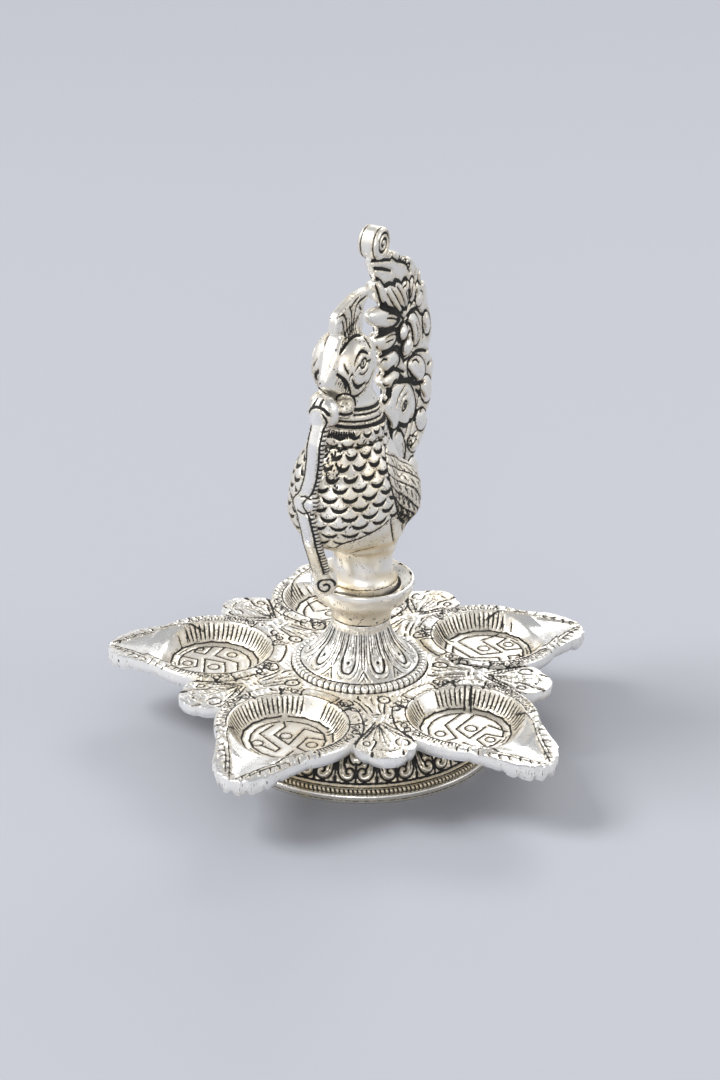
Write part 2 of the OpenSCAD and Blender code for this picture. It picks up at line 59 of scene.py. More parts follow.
REACH, HALF_W, INNER_R = LEAF_R - CUP_AT, CUP_R + BAND_W, 16.6


# Helpers
def smooth(t):
    """Eases from 0 to 1."""
    t = np.clip(t, 0, 1)
    return t * t * (3 - 2 * t)


def unit(v):
    """The vectors of an array, each made one long."""
    return v / np.maximum(np.linalg.norm(v, axis=-1, keepdims=True), 1e-12)


def curve(x, table, column=1):
    """Smooth interpolation through the rows of a table, without overshoot."""
    table = np.asarray(table, float)
    xs, ys = table[:, 0], table[:, column]
    h = np.diff(xs)
    d = np.diff(ys) / h
    m = np.empty_like(ys)
    m[0], m[-1] = d[0], d[-1]
    for i in range(1, len(xs) - 1):
        m[i] = 0 if d[i - 1] * d[i] <= 0 else 3 * (h[i - 1] + h[i]) / (
            (2 * h[i] + h[i - 1]) / d[i - 1] + (h[i] + 2 * h[i - 1]) / d[i])
    x = np.clip(x, xs[0], xs[-1])
    k = np.clip(np.searchsorted(xs, x, side="right") - 1, 0, len(xs) - 2)
    t = (x - xs[k]) / h[k]
    return (ys[k] * (1 + 2 * t) * (1 - t) ** 2 + h[k] * m[k] * t * (1 - t) ** 2
            + ys[k + 1] * t * t * (3 - 2 * t) + h[k] * m[k + 1] * t * t * (t - 1))


def polar(r, degrees):
    """The plan point at a radius and an angle."""
    return [r * math.cos(math.radians(degrees)), r * math.sin(math.radians(degrees))]


def turned(points, degrees):
    """Plan points turned anticlockwise round the origin."""
    p = np.asarray(points, float)
    c, s = polar(1, degrees)
    return np.stack([p[..., 0] * c - p[..., 1] * s, p[..., 0] * s + p[..., 1] * c], -1)


def arc(cx, cy, rx, a0, a1, ry=None, n=None):
    """Points on a part of a circle, or of an ellipse where ry is given."""
    ry = rx if ry is None else ry
    n = n or max(4, int(abs(a1 - a0) / 22) + 2)
    a = np.radians(np.linspace(a0, a1, n))
    return np.stack([cx + rx * np.cos(a), cy + ry * np.sin(a)], 1)


def spiral(r0, r1, degrees, n):
    """Points on a spiral round the origin, from radius r0 to r1."""
    a, r = np.radians(np.linspace(0, degrees, n)), np.linspace(r0, r1, n)
    return np.stack([r * np.cos(a), r * np.sin(a)], 1)


def spline(points, step=0.6):
    """A smooth curve through points, as a polyline."""
    p = np.asarray(points, float)
    if len(p) < 3 or not step:
        return p
    q = np.vstack([2 * p[0] - p[1], p, 2 * p[-1] - p[-2]])
    out = []
    for i in range(1, len(q) - 2):
        a, b, c, d = q[i - 1], q[i], q[i + 1], q[i + 2]
        n = max(2, int(np.linalg.norm(c - b) / step))
        t = np.linspace(0, 1, n, endpoint=False)[:, None]
        out.append(0.5 * (2 * b + (c - a) * t + (2 * a - 5 * b + 4 * c - d) * t ** 2
                          + (3 * b - a - 3 * c + d) * t ** 3))
    return np.vstack(out + [p[-1:]])


def run_length(points):
    """How far along a polyline each of its points lies."""
    return np.concatenate([[0], np.cumsum(np.linalg.norm(np.diff(points, axis=0), axis=1))])


def resample(points, step):
    """The polyline with points at even steps."""
    p = np.asarray(points, float)
    d = run_length(p)
    s = np.linspace(0, d[-1], max(1, int(round(d[-1] / step))) + 1)
    return np.stack([np.interp(s, d, p[:, k]) for k in range(p.shape[1])], 1)


def sides_of(ring):
    """The sides of a closed outline."""
    return zip(ring, np.roll(ring, -1, axis=0))


def inside(points, ring):
    """Which points lie inside a closed outline."""
    x, y = points[:, 0], points[:, 1]
    hit = np.zeros(len(points), bool)
    for a, b in sides_of(ring):
        if a[1] != b[1]:
            cross = (a[1] > y) != (b[1] > y)
            hit ^= cross & (x < (b[0] - a[0]) * (y - a[1]) / (b[1] - a[1]) + a[0])
    return hit


def to_segment(q, ab):
    """How far points are from the segment from the origin to ab, and which share of it is nearest."""
    t = np.clip(q @ ab / max(ab @ ab, 1e-12), 0, 1)
    return np.linalg.norm(q - t[:, None] * ab, axis=1), t


def ring_distance(q, ring):
    """How far points are from a closed outline."""
    best = np.full(len(q), 1e9)
    for a, b in sides_of(ring):
        best = np.minimum(best, to_segment(q - a, b - a)[0])
    return best


class Relief:
    """Chased and cast ornament over a chart in millimetres: dark lines, grooves and raised work."""

    CELL = 1.6

    def __init__(self, p):
        self.p = np.asarray(p, float)
        n = len(self.p)
        self.ink, self.cut, self.up = np.full(n, FAR), np.zeros(n), np.zeros(n)
        self.lo = self.p.min(0) - 0.01
        cell = ((self.p - self.lo) / self.CELL).astype(int)
        self.n = cell.max(0) + 1
        key = cell[:, 0] * self.n[1] + cell[:, 1]
        self.order = np.argsort(key, kind="stable")
        self.start = np.searchsorted(key[self.order], np.arange(self.n[0] * self.n[1] + 1))

    def near(self, lo, hi):
        """The chart's points in the cells between two corners."""
        i0, j0 = np.clip(((lo - self.lo) / self.CELL).astype(int), 0, self.n - 1)
        i1, j1 = np.clip(((hi - self.lo) / self.CELL).astype(int), 0, self.n - 1)
        if np.any(hi < self.lo) or np.any(lo > self.lo + self.n * self.CELL):
            return np.zeros(0, int)
        return np.concatenate([self.order[self.start[i * self.n[1] + j0]:self.start[i * self.n[1] + j1 + 1]]
                               for i in range(i0, i1 + 1)])

    def _each(self, points, reach):
        """For each piece of a line: the points near it, their distance and their share of its length."""
        p = np.asarray(points, float)
        if len(p) == 1:
            p = np.vstack([p, p + 1e-6])
        at = run_length(p)
        for k in range(len(p) - 1):
            a, b = p[k], p[k + 1]
            idx = self.near(np.minimum(a, b) - reach, np.maximum(a, b) + reach)
            if len(idx):
                d, t = to_segment(self.p[idx] - a, b - a)
                yield idx, d, (at[k] + t * (at[k + 1] - at[k])) / max(at[-1], 1e-9)

    def line(self, points, w=0.2, depth=0.2, taper=0.0, soft=0.35, ink=True):
        """A groove of half width w, narrower by the share taper at its ends."""
        for idx, d, s in self._each(points, w + soft + 0.7):
            v = d - w * (1 - taper * np.abs(2 * s - 1) ** 2)
            if ink:
                self.ink[idx] = np.minimum(self.ink[idx], v)
            self.cut[idx] = np.maximum(self.cut[idx], depth * smooth(1 - np.maximum(v, 0) / soft))

    def draw(self, strokes, place=np.asarray, step=0.6, depth=0.22, taper=0.4):
        """Smooth grooves. A row is a half width and points, and may have its own depth and taper between."""
        for w, *own, points in strokes:
            self.line(spline(place(points), step), w, *(own or (depth, taper)))

    def dots(self, places, r, depth):
        """Punched dots."""
        for p in places:
            self.line([p], r, depth)

    def loop(self, cx, cy, rx, ry=None, w=0.16, depth=0.2, turn=0.0):
        """A closed oval line."""
        self.line(turned(arc(0, 0, rx, 0, 360, ry, 17), turn) + [cx, cy], w, depth)

    def ridge(self, points, w=0.5, height=0.3, taper=0.0):
        """A rounded raised line."""
        for idx, d, s in self._each(points, w):
            half = np.maximum(w * (1 - taper * np.abs(2 * s - 1) ** 2), 1e-3)
            k = np.sqrt(np.clip(1 - (d / half) ** 2, 0, 1))
            self.up[idx] = np.maximum(self.up[idx], height * k)

    def mounds(self, places, r, height):
        """Round raised beads."""
        for p in places:
            self.ridge([p], r, height)

    def pad(self, ring, height, soft=0.4):
        """Raises the inside of a closed outline."""
        idx = self.near(ring.min(0), ring.max(0))
        idx = idx[inside(self.p[idx], ring)]
        lift = height * smooth(ring_distance(self.p[idx], ring) / soft)
        self.up[idx] = np.maximum(self.up[idx], lift)

    def height(self):
        return self.up - self.cut


def edge_distance(points, path):
    """How far points are from a line, up to about 0.7 mm."""
    chart = Relief(points)
    chart.line(path, 0.0, 0.0, soft=0.01)
    return chart.ink


def grid_faces(rows, cols, wrap=True):
    """Quads of a grid of vertices, row by row. Rows run along the surface, columns turn anticlockwise."""
    i = np.arange(rows - 1)[:, None]
    j = np.arange(cols if wrap else cols - 1)[None, :]
    k = (j + 1) % cols
    corners = [i * cols + j, i * cols + k, (i + 1) * cols + k, (i + 1) * cols + j]
    return np.stack(corners, -1).reshape(-1, 4)


def triangulate(points, ring):
    """Triangles over points inside a closed outline, whose points are the first vertices."""
    n = len(ring)
    every = [Vector(v) for v in np.vstack([ring, points]).tolist()]
    out = delaunay_2d_cdt(every, [(i, (i + 1) % n) for i in range(n)], [], 1, 1e-7)
    return np.array([v[:] for v in out[0]]), np.array(out[2], int)


def hexagons(ring, step):
    """Evenly spread points over the rectangle round an outline."""
    lo, hi = ring.min(0), ring.max(0)
    rows = []
    for k, y in enumerate(np.arange(lo[1], hi[1], step * math.sqrt(3) / 2)):
        x = np.arange(lo[0] + (k % 2) * step / 2, hi[0], step)
        rows.append(np.stack([x, np.full(len(x), y)], 1))
    return np.vstack(rows)


def clear_of(points, ring, gap):
    """The points inside an outline and at least gap from it."""
    p = points[inside(points, ring)]
    return p[edge_distance(p, np.vstack([ring, ring[:1]])) > gap]


def vertex_normals(v, faces):
    """Mean normals at the vertices of quads."""
    n = np.zeros_like(v)
    across = np.cross(v[faces[:, 2]] - v[faces[:, 0]], v[faces[:, 3]] - v[faces[:, 1]])
    for k in range(4):
        np.add.at(n, faces[:, k], across)
    return unit(n)


def polygon_mesh(name, v, faces):
    """A mesh in metres, from vertices in millimetres and arrays of faces."""
    sizes = np.concatenate([np.full(len(f), f.shape[1]) for f in faces])
    loops = np.concatenate([f.reshape(-1) for f in faces])
    mesh = bpy.data.meshes.new(name)
    mesh.vertices.add(len(v))
    mesh.vertices.foreach_set("co", (v * MM).astype(np.float32).ravel())
    mesh.loops.add(len(loops))
    mesh.loops.foreach_set("vertex_index", loops.astype(np.int32))
    mesh.polygons.add(len(sizes))
    starts = np.concatenate([[0], np.cumsum(sizes)[:-1]])
    mesh.polygons.foreach_set("loop_start", starts.astype(np.int32))
    mesh.update(calc_edges=True)
    mesh.validate()
    mesh.polygons.foreach_set("use_smooth", np.ones(len(mesh.polygons), bool))
    return mesh


class Part:
    """Collects the patches of one casting and makes one mesh of them."""

    def __init__(self):
        self.v, self.f, self.ink, self.tone, self.count = [], [], [], [], 0

    def add(self, v, faces, ink=FAR, tone=0.0):
        """A patch. ink is the distance from the dark lines, tone the share of warm stain."""
        self.v.append(v)
        self.f.append(faces + self.count)
        self.ink.append(np.broadcast_to(ink, len(v)))
        self.tone.append(np.broadcast_to(tone, len(v)))
        self.count += len(v)

    def make(self, name, node, material, sharp=48, weld=False):
        """The piece, in place of its CAD node. weld joins the vertices that share a place."""
        v, ink, tone, faces = np.vstack(self.v), np.concatenate(self.ink), np.concatenate(self.tone), self.f
        if weld:
            key = np.round(v / WELD).astype(np.int64)
            _, first, back = np.unique(key, axis=0, return_index=True, return_inverse=True)
            v, ink, tone = v[first], ink[first], tone[first]
            faces = [back.reshape(-1)[f] for f in faces]
        mesh = polygon_mesh(name, v, faces)
        for key, values in (("ink", ink), ("tone", tone)):
            layer = mesh.attributes.new(key, "FLOAT", "POINT")
            layer.data.foreach_set("value", values.astype(np.float32))
        mesh.set_sharp_from_angle(angle=math.radians(sharp))
        mesh.materials.append(material)
        piece = bpy.data.objects.new(name, mesh)
        bpy.context.scene.collection.objects.link(piece)
        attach(piece, "root")
        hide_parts(node)


def revolve(part, profile, cols, ink=FAR, height=0.0, tone=0.0, turn=0.0, flip=False):
    """Adds a surface of revolution. profile has rows of radius and height, and height lifts it outward."""
    profile = np.asarray(profile, float)
    shape = (len(profile), cols)
    t = np.gradient(profile, axis=0)
    n = unit(np.stack([t[:, 1], -t[:, 0]], 1))
    a = np.radians(turn) + np.arange(cols) * 2 * math.pi / cols
    r = profile[:, :1] + n[:, :1] * height
    z = np.broadcast_to(profile[:, 1:] + n[:, 1:] * height, shape)
    v = np.stack([r * np.cos(a), r * np.sin(a), z], -1).reshape(-1, 3)
    f = grid_faces(*shape)
    part.add(v, f[:, ::-1] if flip else f, np.broadcast_to(ink, shape).ravel(),
             np.broadcast_to(tone, shape).ravel())


def dense(profile, step, bend=True):
    """A profile resampled to even steps, smoothly through its points."""
    return resample(spline(profile, bend and step / 2), step)


class Sector:
    """A chart of one repeat of the ornament round a turned piece: across it, and up its profile."""

    def __init__(self, profile, step, half, cols, repeats):
        self.profile, self.length = profile, np.arange(len(profile)) * step
        degrees = (np.arange(cols) + 0.5) / cols * 2 * half - half
        across = degrees[None, :] * profile[:, :1] * math.pi / 180
        up = np.repeat(self.length[:, None], cols, 1)
        self.chart = Relief(np.stack([across.ravel(), up.ravel()], 1))
        self.order = np.arange(repeats * cols) % cols

    def draw(self, strokes, side=1, **more):
        """Draws strokes given in degrees round the axis and millimetres up the profile."""
        self.chart.draw(strokes, lambda points: self.place(points, side), **more)

    def place(self, points, side=1):
        p = np.asarray(points, float)
        r = np.interp(p[:, 1], self.length, self.profile[:, 0])
        return np.stack([side * p[:, 0] * r * math.pi / 180, p[:, 1]], 1)

    def rows(self, values):
        return values.reshape(len(self.profile), -1)

    def revolve(self, part, high, **more):
        ink = self.rows(self.chart.ink)[:, self.order]
        revolve(part, self.profile, len(self.order), ink, high[:, self.order], **more)


# Materials
SILVER, IVORY_SILVER, FOOT_BASE = (0.95, 0.94, 0.918), (0.95, 0.925, 0.87), (0.95, 0.925, 0.865)
WARM, DARK = (0.75, 0.62, 0.40), (0.010, 0.009, 0.008)


class Nodes:
    """Short calls that add shader nodes to a material or a world."""

    def __init__(self, owner):
        owner.use_nodes = True
        self.tree = owner.node_tree

    def feed(self, node, values):
        """Sets sockets of a node, each to a number, a colour or the output that feeds it."""
        for key, value in values.items():
            if isinstance(value, bpy.types.NodeSocket):
                self.tree.links.new(value, node.inputs[key])
            else:
                node.inputs[key].default_value = (*value, 1.0) if isinstance(value, tuple) else value

    def add(self, kind, values=(), **settings):
        node = self.tree.nodes.new("ShaderNode" + kind)
        for key, value in settings.items():
            setattr(node, key, value)
        self.feed(node, dict(values))
        return node

    def math(self, operation, a, b=None, clamp=False):
        values = {0: a} if b is None else {0: a, 1: b}
        return self.add("Math", values, operation=operation, use_clamp=clamp).outputs[0]

    def ramp(self, value, low, high, first, last, kind="SMOOTHSTEP"):
        """Turns the range from low to high into the one from first to last."""
        values = {"Value": value, "From Min": low, "From Max": high, "To Min": first, "To Max": last}
        return self.add("MapRange", values, interpolation_type=kind).outputs["Result"]

    def mix(self, factor, a, b):
        return self.add("Mix", {0: factor, 6: a, 7: b}, data_type="RGBA").outputs[2]

    def mix_shaders(self, factor, a, b):
        return self.add("MixShader", {0: factor, 1: a, 2: b}).outputs[0]

    def noise(self, scale, detail=2.0, roughness=0.5):
        place = self.add("TexCoord").outputs["Object"]
        values = {"Vector": place, "Scale": scale, "Detail": detail, "Roughness": roughness}
        return self.add("TexNoise", values).outputs["Fac"]


def new_material(name):
    """A material, its node calls and its shader node."""
    material = bpy.data.materials.new(name)
    nodes = Nodes(material)
    return material, nodes, nodes.tree.nodes["Principled BSDF"]


def dirt(nodes, ink, seed, speckle, soot):
    """1 in the pits of the casting and in the grime beside its lines."""
    pits = nodes.math("MULTIPLY", nodes.ramp(nodes.noise(2600 + seed, 1.0), 0.62, 0.67, 0.0, 1.0),
                      nodes.ramp(nodes.noise(160 + seed), 0.49, 0.60, 0.0, speckle))
    deep = nodes.math("MULTIPLY", nodes.ramp(nodes.noise(900 + seed, 1.0), 0.70, 0.74, 0.0, 1.0), speckle)
    grime = nodes.math("MULTIPLY", nodes.ramp(ink, 0.05, 0.7, 1.0, 0.0),
                       nodes.ramp(nodes.noise(1700 + seed), 0.54, 0.62, 0.0, soot))
    return nodes.math("MAXIMUM", nodes.math("MAXIMUM", pits, deep), grime)


def silver_material(name, base=SILVER, rough=0.26, speckle=0.5, seed=0.0, soot=0.8, near_warmth=0.36,
                    gain=0.05, clean_walls=False):
    """Old silver plate: black in its lines and pits, and warm close to them.

    speckle, soot and near_warmth say how dirty it is, and gain widens the lines. Clean walls are
    filed upright edges, which keep no dirt and are less polished.
    """
    material, nodes, shader = new_material(name)
    ink, tone = (nodes.add("Attribute", attribute_name=key).outputs["Fac"] for key in ("ink", "tone"))
    patch = nodes.ramp(nodes.noise(70 + seed, 3.0), 0.52, 0.72, 0.0, 0.35)
    warmth = nodes.math("ADD", nodes.ramp(ink, 0.0, 1.1, near_warmth, 0.0), patch)
    warmth = nodes.math("ADD", warmth, tone, clamp=True)
    stain, spots = warmth, dirt(nodes, ink, seed, speckle, soot)
    if clean_walls:
        normal = nodes.add("NewGeometry").outputs["Normal"]
        slope = nodes.math("ABSOLUTE", nodes.add("SeparateXYZ", {"Vector": normal}).outputs["Z"])
        lying = nodes.ramp(slope, 0.12, 0.34, 0.12, 1.0)
        stain, spots = nodes.math("MULTIPLY", warmth, lying), nodes.math("MULTIPLY", spots, lying)
        rough = nodes.math("SUBTRACT", rough + 0.26, nodes.math("MULTIPLY", lying, 0.26))
    wobble = nodes.math("MULTIPLY", nodes.math("SUBTRACT", nodes.noise(1100 + seed), 0.5), 0.3)
    line = nodes.ramp(nodes.math("ADD", ink, wobble), gain - 0.05, gain + 0.08, 1.0, 0.0)
    black = nodes.math("MAXIMUM", line, spots)
    rough = nodes.math("ADD", rough, nodes.math("MULTIPLY", warmth, 0.30))
    bumps = nodes.math("ADD", nodes.math("MULTIPLY", nodes.noise(420, 3.0, 0.6), 0.7),
                       nodes.math("MULTIPLY", nodes.noise(110), 0.8))
    bump = nodes.add("Bump", {"Strength": 0.5, "Distance": 0.0003, "Height": bumps})
    nodes.feed(shader, {
        "Base Color": nodes.mix(black, nodes.mix(stain, base, WARM), DARK),
        "Metallic": nodes.math("MULTIPLY", nodes.math("SUBTRACT", 1.0, black), 0.94),
        "Roughness": nodes.math("ADD", rough, nodes.math("MULTIPLY", black, 0.35), clamp=True),
        "Normal": bump.outputs["Normal"]})
    return material


def steel_material():
    """Bright steel of the stud, washer and nut."""
    material, nodes, shader = new_material("bright_steel")
    rough = nodes.ramp(nodes.noise(900), 0.0, 1.0, 0.25, 0.42, "LINEAR")
    nodes.feed(shader, {"Metallic": 1.0, "Base Color": (0.55, 0.56, 0.58), "Roughness": rough})
    return material


TRAY_SILVER = silver_material("antique_silver", clean_walls=True)
CONE_SILVER = silver_material("antique_silver_cone", rough=0.24, speckle=0.3, seed=23.0, soot=0.4,
                              near_warmth=0.22, gain=0.0)
FOOT_SILVER = silver_material("antique_silver_foot", base=FOOT_BASE, speckle=0.25, seed=31.0, soot=0.3)
TAIL_SILVER = silver_material("antique_silver_tail", base=IVORY_SILVER, speckle=0.35, rough=0.30,
                              seed=11.0, soot=0.5)
BIRD_SILVER = silver_material("antique_silver_bird", base=IVORY_SILVER, speckle=0.95, rough=0.30,
                              seed=17.0, gain=0.08)
SNAKE_SILVER = silver_material("antique_silver_snake", speckle=0.25, rough=0.24, seed=5.0)
STEEL = steel_material()
for name in ("stud", "washer", "nut"):
    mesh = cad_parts[name].data
    mesh.materials.clear()
    mesh.materials.append(STEEL)


# Foot: the scrolls of half a pair, in degrees round the axis and millimetres up the bell
FOOT_CURLS = (
    (0.24, [[1.0, 11.0], [1.0, 5.2], [1.5, 3.0], [2.9, 1.6], [4.6, 1.05], [6.6, 1.2], [8.1, 2.1], [8.4, 3.4],
            [7.4, 4.5], [5.9, 4.7], [4.8, 4.1], [4.9, 3.3], [5.8, 3.1]]),
    (0.24, [[3.7, 11.0], [3.6, 6.2], [4.0, 5.1], [4.8, 4.2]]))
FOOT_HANGING = (
    (0.08, 0.14, 0, [[2.3, 11.0], [2.3, 5.4], [2.8, 3.6]]),
    (0.24, 0.4, 0, [[5.2, 11.0], [5.3, 8.4], [6.2, 6.6], [7.7, 5.7], [9.0, 6.0]]),
    (0.12, 0.3, 0, [[7.6, 11.0], [7.6, 9.2], [8.1, 8.6], [8.7, 9.2]]))
FOOT_GROUND = (
    (0.3, 0.5, 0.3, [[9.0, 0.8], [9.0, 2.4], [9.0, 5.6]]),
    (0.3, 0.5, 0, [[4.4, 6.4], [4.5, 9.0], [4.5, 11.0]]),
    (0.3, 0.5, 0, [[0, 0.8], [0.2, 2.2]]),
    (0.16, 0.35, 0, [[0, 11], [0, 4.0], [0, 1.6]]),
    (0.16, 0.3, 0, [[-9, 0.55], [0, 0.55], [9, 0.55]]))
ROPE_TWISTS, ROPE_COLS = 200, 1400


def foot_scrolls(part, bell_r, bell_z):
    """The bell, with its row of mirrored J scrolls."""
    step = 0.28
    bell = dense(arc(COLLAR_R, bell_z, bell_r - COLLAR_R, 0, 90, SHOULDER_Z - bell_z, 30), step)
    sector = Sector(bell, step, half=9.0, cols=40, repeats=20)
    for side in SIDES:
        sector.draw(FOOT_CURLS, side, step=0.4, depth=0.5, taper=0)
        sector.draw(FOOT_HANGING, side, step=0.5)
        sector.draw(FOOT_GROUND, side, step=None)
    # the backs of the scrolls are rounded
    high = sector.rows(sector.chart.height()) + 0.35 * smooth(sector.rows(sector.chart.ink) / 0.9) - 0.35
    fade = smooth((sector.length - 0.2) / 0.5) * smooth((sector.length[-1] - sector.length) / 0.8)
    sector.revolve(part, high * fade[:, None], tone=0.12, turn=-135.0)


def build_foot():
    part = Part()
    bell_r, bell_z = FOOT_R - 3 * ROPE_R, FLANGE_H + 2 * ROPE_R
    foot_scrolls(part, bell_r, bell_z)
    # rope ring
    rope = arc(FOOT_R - 1.5 * ROPE_R, FLANGE_H + ROPE_R, ROPE_R - 0.1, -60, 150, n=10)
    turn = np.arange(ROPE_COLS) * 2 * math.pi / ROPE_COLS
    wave = np.cos(ROPE_TWISTS * turn[None, :] + 2.2 * np.linspace(0, 1, 10)[:, None])
    revolve(part, rope, ROPE_COLS, 0.14 + 0.32 * wave, 0.13 * wave - 0.12, tone=0.42)
    # flange, with a fine groove round its edge
    flange = [[FOOT_R - 0.5, 0], [FOOT_R - 0.12, 0.12], [FOOT_R, 0.45], [FOOT_R, FLANGE_H - 0.5],
              [FOOT_R - 0.12, FLANGE_H - 0.15], [FOOT_R - 0.5, FLANGE_H], [FOOT_R - 1.3, FLANGE_H + 0.05]]
    flange = dense(flange, 0.16, bend=False)
    groove = np.abs(flange[:, 1] - 0.8) - 0.05 + FAR * (flange[:, 0] < FOOT_R - 0.2)
    revolve(part, flange, 300, groove[:, None])
    # plain ring between rope and bell
    step = [[FOOT_R - 1.9, bell_z - 0.35], [FOOT_R - 2.3, bell_z - 0.1], [bell_r - 0.1, bell_z + 0.1],
            [bell_r - 0.15, bell_z + 0.35]]
    revolve(part, step, 240, [[-0.1], [0.2], [0.3], [0.0]], tone=0.5)
    # shoulder, collar, roof and the hollow inside
    shoulder = [[COLLAR_R + 0.4, SHOULDER_Z - 0.05], [COLLAR_R, SHOULDER_Z], [COLLAR_R, FOOT_H]]
    revolve(part, shoulder, 180, tone=0.3)
    revolve(part, [[COLLAR_R, FOOT_H], [BORE_R, FOOT_H]], 90)
    inner_r, roof = COLLAR_R - FOOT_WALL, FOOT_H - FOOT_WALL
    inner = arc(inner_r, bell_z, bell_r - COLLAR_R, 0, 90, SHOULDER_Z - FOOT_WALL / 2 - bell_z, 12)
    hollow = np.vstack([[[FOOT_R - 0.5, 0], [FOOT_R - FOOT_WALL, 0]], inner,
                        [[inner_r, roof], [BORE_R, roof], [BORE_R, FOOT_H]]])
    revolve(part, hollow, 180, tone=0.35, flip=True)
    part.make("foot_casting", "foot", FOOT_SILVER)


# Tray: a fifth of it is drawn in the plan of its cup, along the leaf from the cup's middle, then across.
# Outlines of the leaf and the small leaf are shares of their reach and half width
LEAF_SHARES = [[0.34, 0.80], [0.65, 0.55], [0.74, 0.47], [0.81, 0.46], [0.865, 0.40], [0.88, 0.32],
               [0.925, 0.315], [0.962, 0.235], [0.965, 0.16], [0.993, 0.13], [1, 0.06]]
SMALL_SHARES = [[0.6, 0.62], [0.7, 0.84], [0.76, 1], [0.83, 1], [0.89, 0.92], [0.925, 0.80],
                [0.945, 0.62], [0.965, 0.54], [0.985, 0.38], [1, 0.16]]
# Half width of the spout along the leaf, and heights of the cup, the droop and the cup's underside
SPOUT = np.array([[0.0, 12.6], [5.6, 11.8], [9.0, 11.2], [12.6, 9.6], [16.0, 7.2], [19.4, 4.9],
                  [22.6, 3.0], [25.4, 1.5], [27.0, 0.5]])
CUP_PROFILE = [[0, CUP_FLOOR_Z], [7.5, CUP_FLOOR_Z], [10.9, 16.35], [12.2, 17.2], [13.2, 18.5],
               [14.2, 20.1], [14.8, 20.95], [15.15, RIM_Z]]
DROOP_TOP = [[0, 0], [0.5, 0], [0.7, 0.2], [0.88, 0.6], [1, 1]]
DROOP_UNDER = [[0, 0], [0.45, 0], [0.62, 0.18], [0.8, 0.55], [1, 1]]
BOWL_UNDER = [[0, 14.55], [8, 14.55], [11.4, 14.8], [13.0, 15.6], [13.8, 16.7], [14.4, 17.7]]


def from_ray(points, beta):
    """Small-leaf coordinates (along its axis from the lamp's axis, across) to the cup's own plan."""
    return turned(points, beta) - [CUP_AT, 0]


def small_leaf_edge():
    """Half the outline of a small leaf, from its tip to where it meets the band of the cup."""
    shares = [[s * SMALL_R, -w * SMALL_W] for s, w in reversed(SMALL_SHARES)]
    small = from_ray([[SMALL_R, 0]] + shares, 36)
    r = np.linalg.norm(small, axis=1)
    k = next(i for i in range(3, len(r)) if r[i] < HALF_W)
    t = (r[k - 1] - HALF_W) / (r[k - 1] - r[k])
    return np.vstack([small[:k], small[k - 1] + t * (small[k] - small[k - 1])])


def sector_outline(step):
    """Closed outline of a fifth of the tray, and how many points lie on its outer edge."""
    small = small_leaf_edge()
    leaf = np.array([[a * REACH, b * HALF_W] for a, b in LEAF_SHARES])
    edge = leaf[0] + np.linspace(0, 1, 400)[:, None] * (leaf[1] - leaf[0])
    join = edge[np.argmin(np.abs(np.linalg.norm(edge, axis=1) - HALF_W))]
    a0, a1 = (math.degrees(math.atan2(p[1], p[0])) for p in (small[-1], join))
    tip = np.vstack([[join], leaf[1:]])
    parts = [resample(small[:2], step), resample(spline(small[1:], step), step),
             resample(arc(0, 0, HALF_W, a0, a1, n=24), step)]
    # the leaf's lobes are rounded between the notches
    for lobe in (tip[:5], tip[4:8], tip[7:10], tip[9:]):
        if len(lobe) > 3:
            lobe = np.vstack([lobe[0], (lobe[1:-1] * 2 + lobe[:-2] + lobe[2:]) / 4, lobe[-1]])
        parts.append(resample(spline(lobe, step), step))
    half = np.vstack([parts[0]] + [p[1:] for p in parts[1:]] + [[[REACH, 0]]])
    outer = np.vstack([half * [1, -1], half[-2::-1]])
    # back to the start along the two rays and the hub
    radii = np.linspace(SMALL_R, INNER_R, int((SMALL_R - INNER_R) / step) + 1)[1:]
    ray = np.stack([radii, 0 * radii], 1)
    hub = arc(-CUP_AT, 0, INNER_R, 36, -36, n=int(INNER_R * 1.2566 / step) + 1)[1:-1]
    return np.vstack([outer, from_ray(ray, 36), hub, from_ray(ray[::-1], -36)]), len(outer)


def star_place(p):
    """Distance from the lamp's axis, and the place along and across the nearest small leaf."""
    axis = np.hypot(p[:, 0] + CUP_AT, p[:, 1])
    turn = np.radians(36 - np.degrees(np.arctan2(np.abs(p[:, 1]), p[:, 0] + CUP_AT)))
    return axis, axis * np.cos(turn), axis * np.sin(turn)


def spout_width(p, least=0.0):
    return np.maximum(curve(np.clip(p[:, 0], 0, 27), SPOUT), least)


def tray_level(p):
    """Height of the plain tray over its plan."""
    u, r = p[:, 0], np.hypot(p[:, 0], p[:, 1])
    axis, s, w = star_place(p)
    base = RIM_Z - 0.1 - DROOP * curve(u / REACH, DROOP_TOP)
    # small leaves lie a little lower, with a raised middle, and fall to their tip
    leafy = smooth((r - HALF_W + 0.6) / 1.2) * smooth((s - 31) / 3.0)
    base = base - leafy * (0.4 + 0.5 * smooth((s - 43) / 7)) + leafy * 0.25 * np.exp(-(w / 2.2) ** 2)
    # the hub sinks slightly between the cups and the cone
    base = base - 0.35 * (smooth((r - HALF_W) / 1.5) * smooth((33 - axis) / 3))
    rim_r = CUP_PROFILE[-1][0]
    z = np.where(r < rim_r, curve(np.minimum(r, rim_r), CUP_PROFILE), base)
    # the spout rises from the cup to the tip
    q = np.abs(p[:, 1]) / spout_width(p, 0.05)
    floor = 17.9 + 1.05 * np.clip(u / REACH, 0, 1) + 0.4 * smooth((u - 24) / 3)
    spout = floor + (base - floor) * np.clip(q, 0, 1) ** 2.2
    z = np.where((u > 4) & (q < 1), blend(z, spout, 1.8), z)
    return np.where(axis < RING_R + 0.12, CONE_Z + 0.05, z)


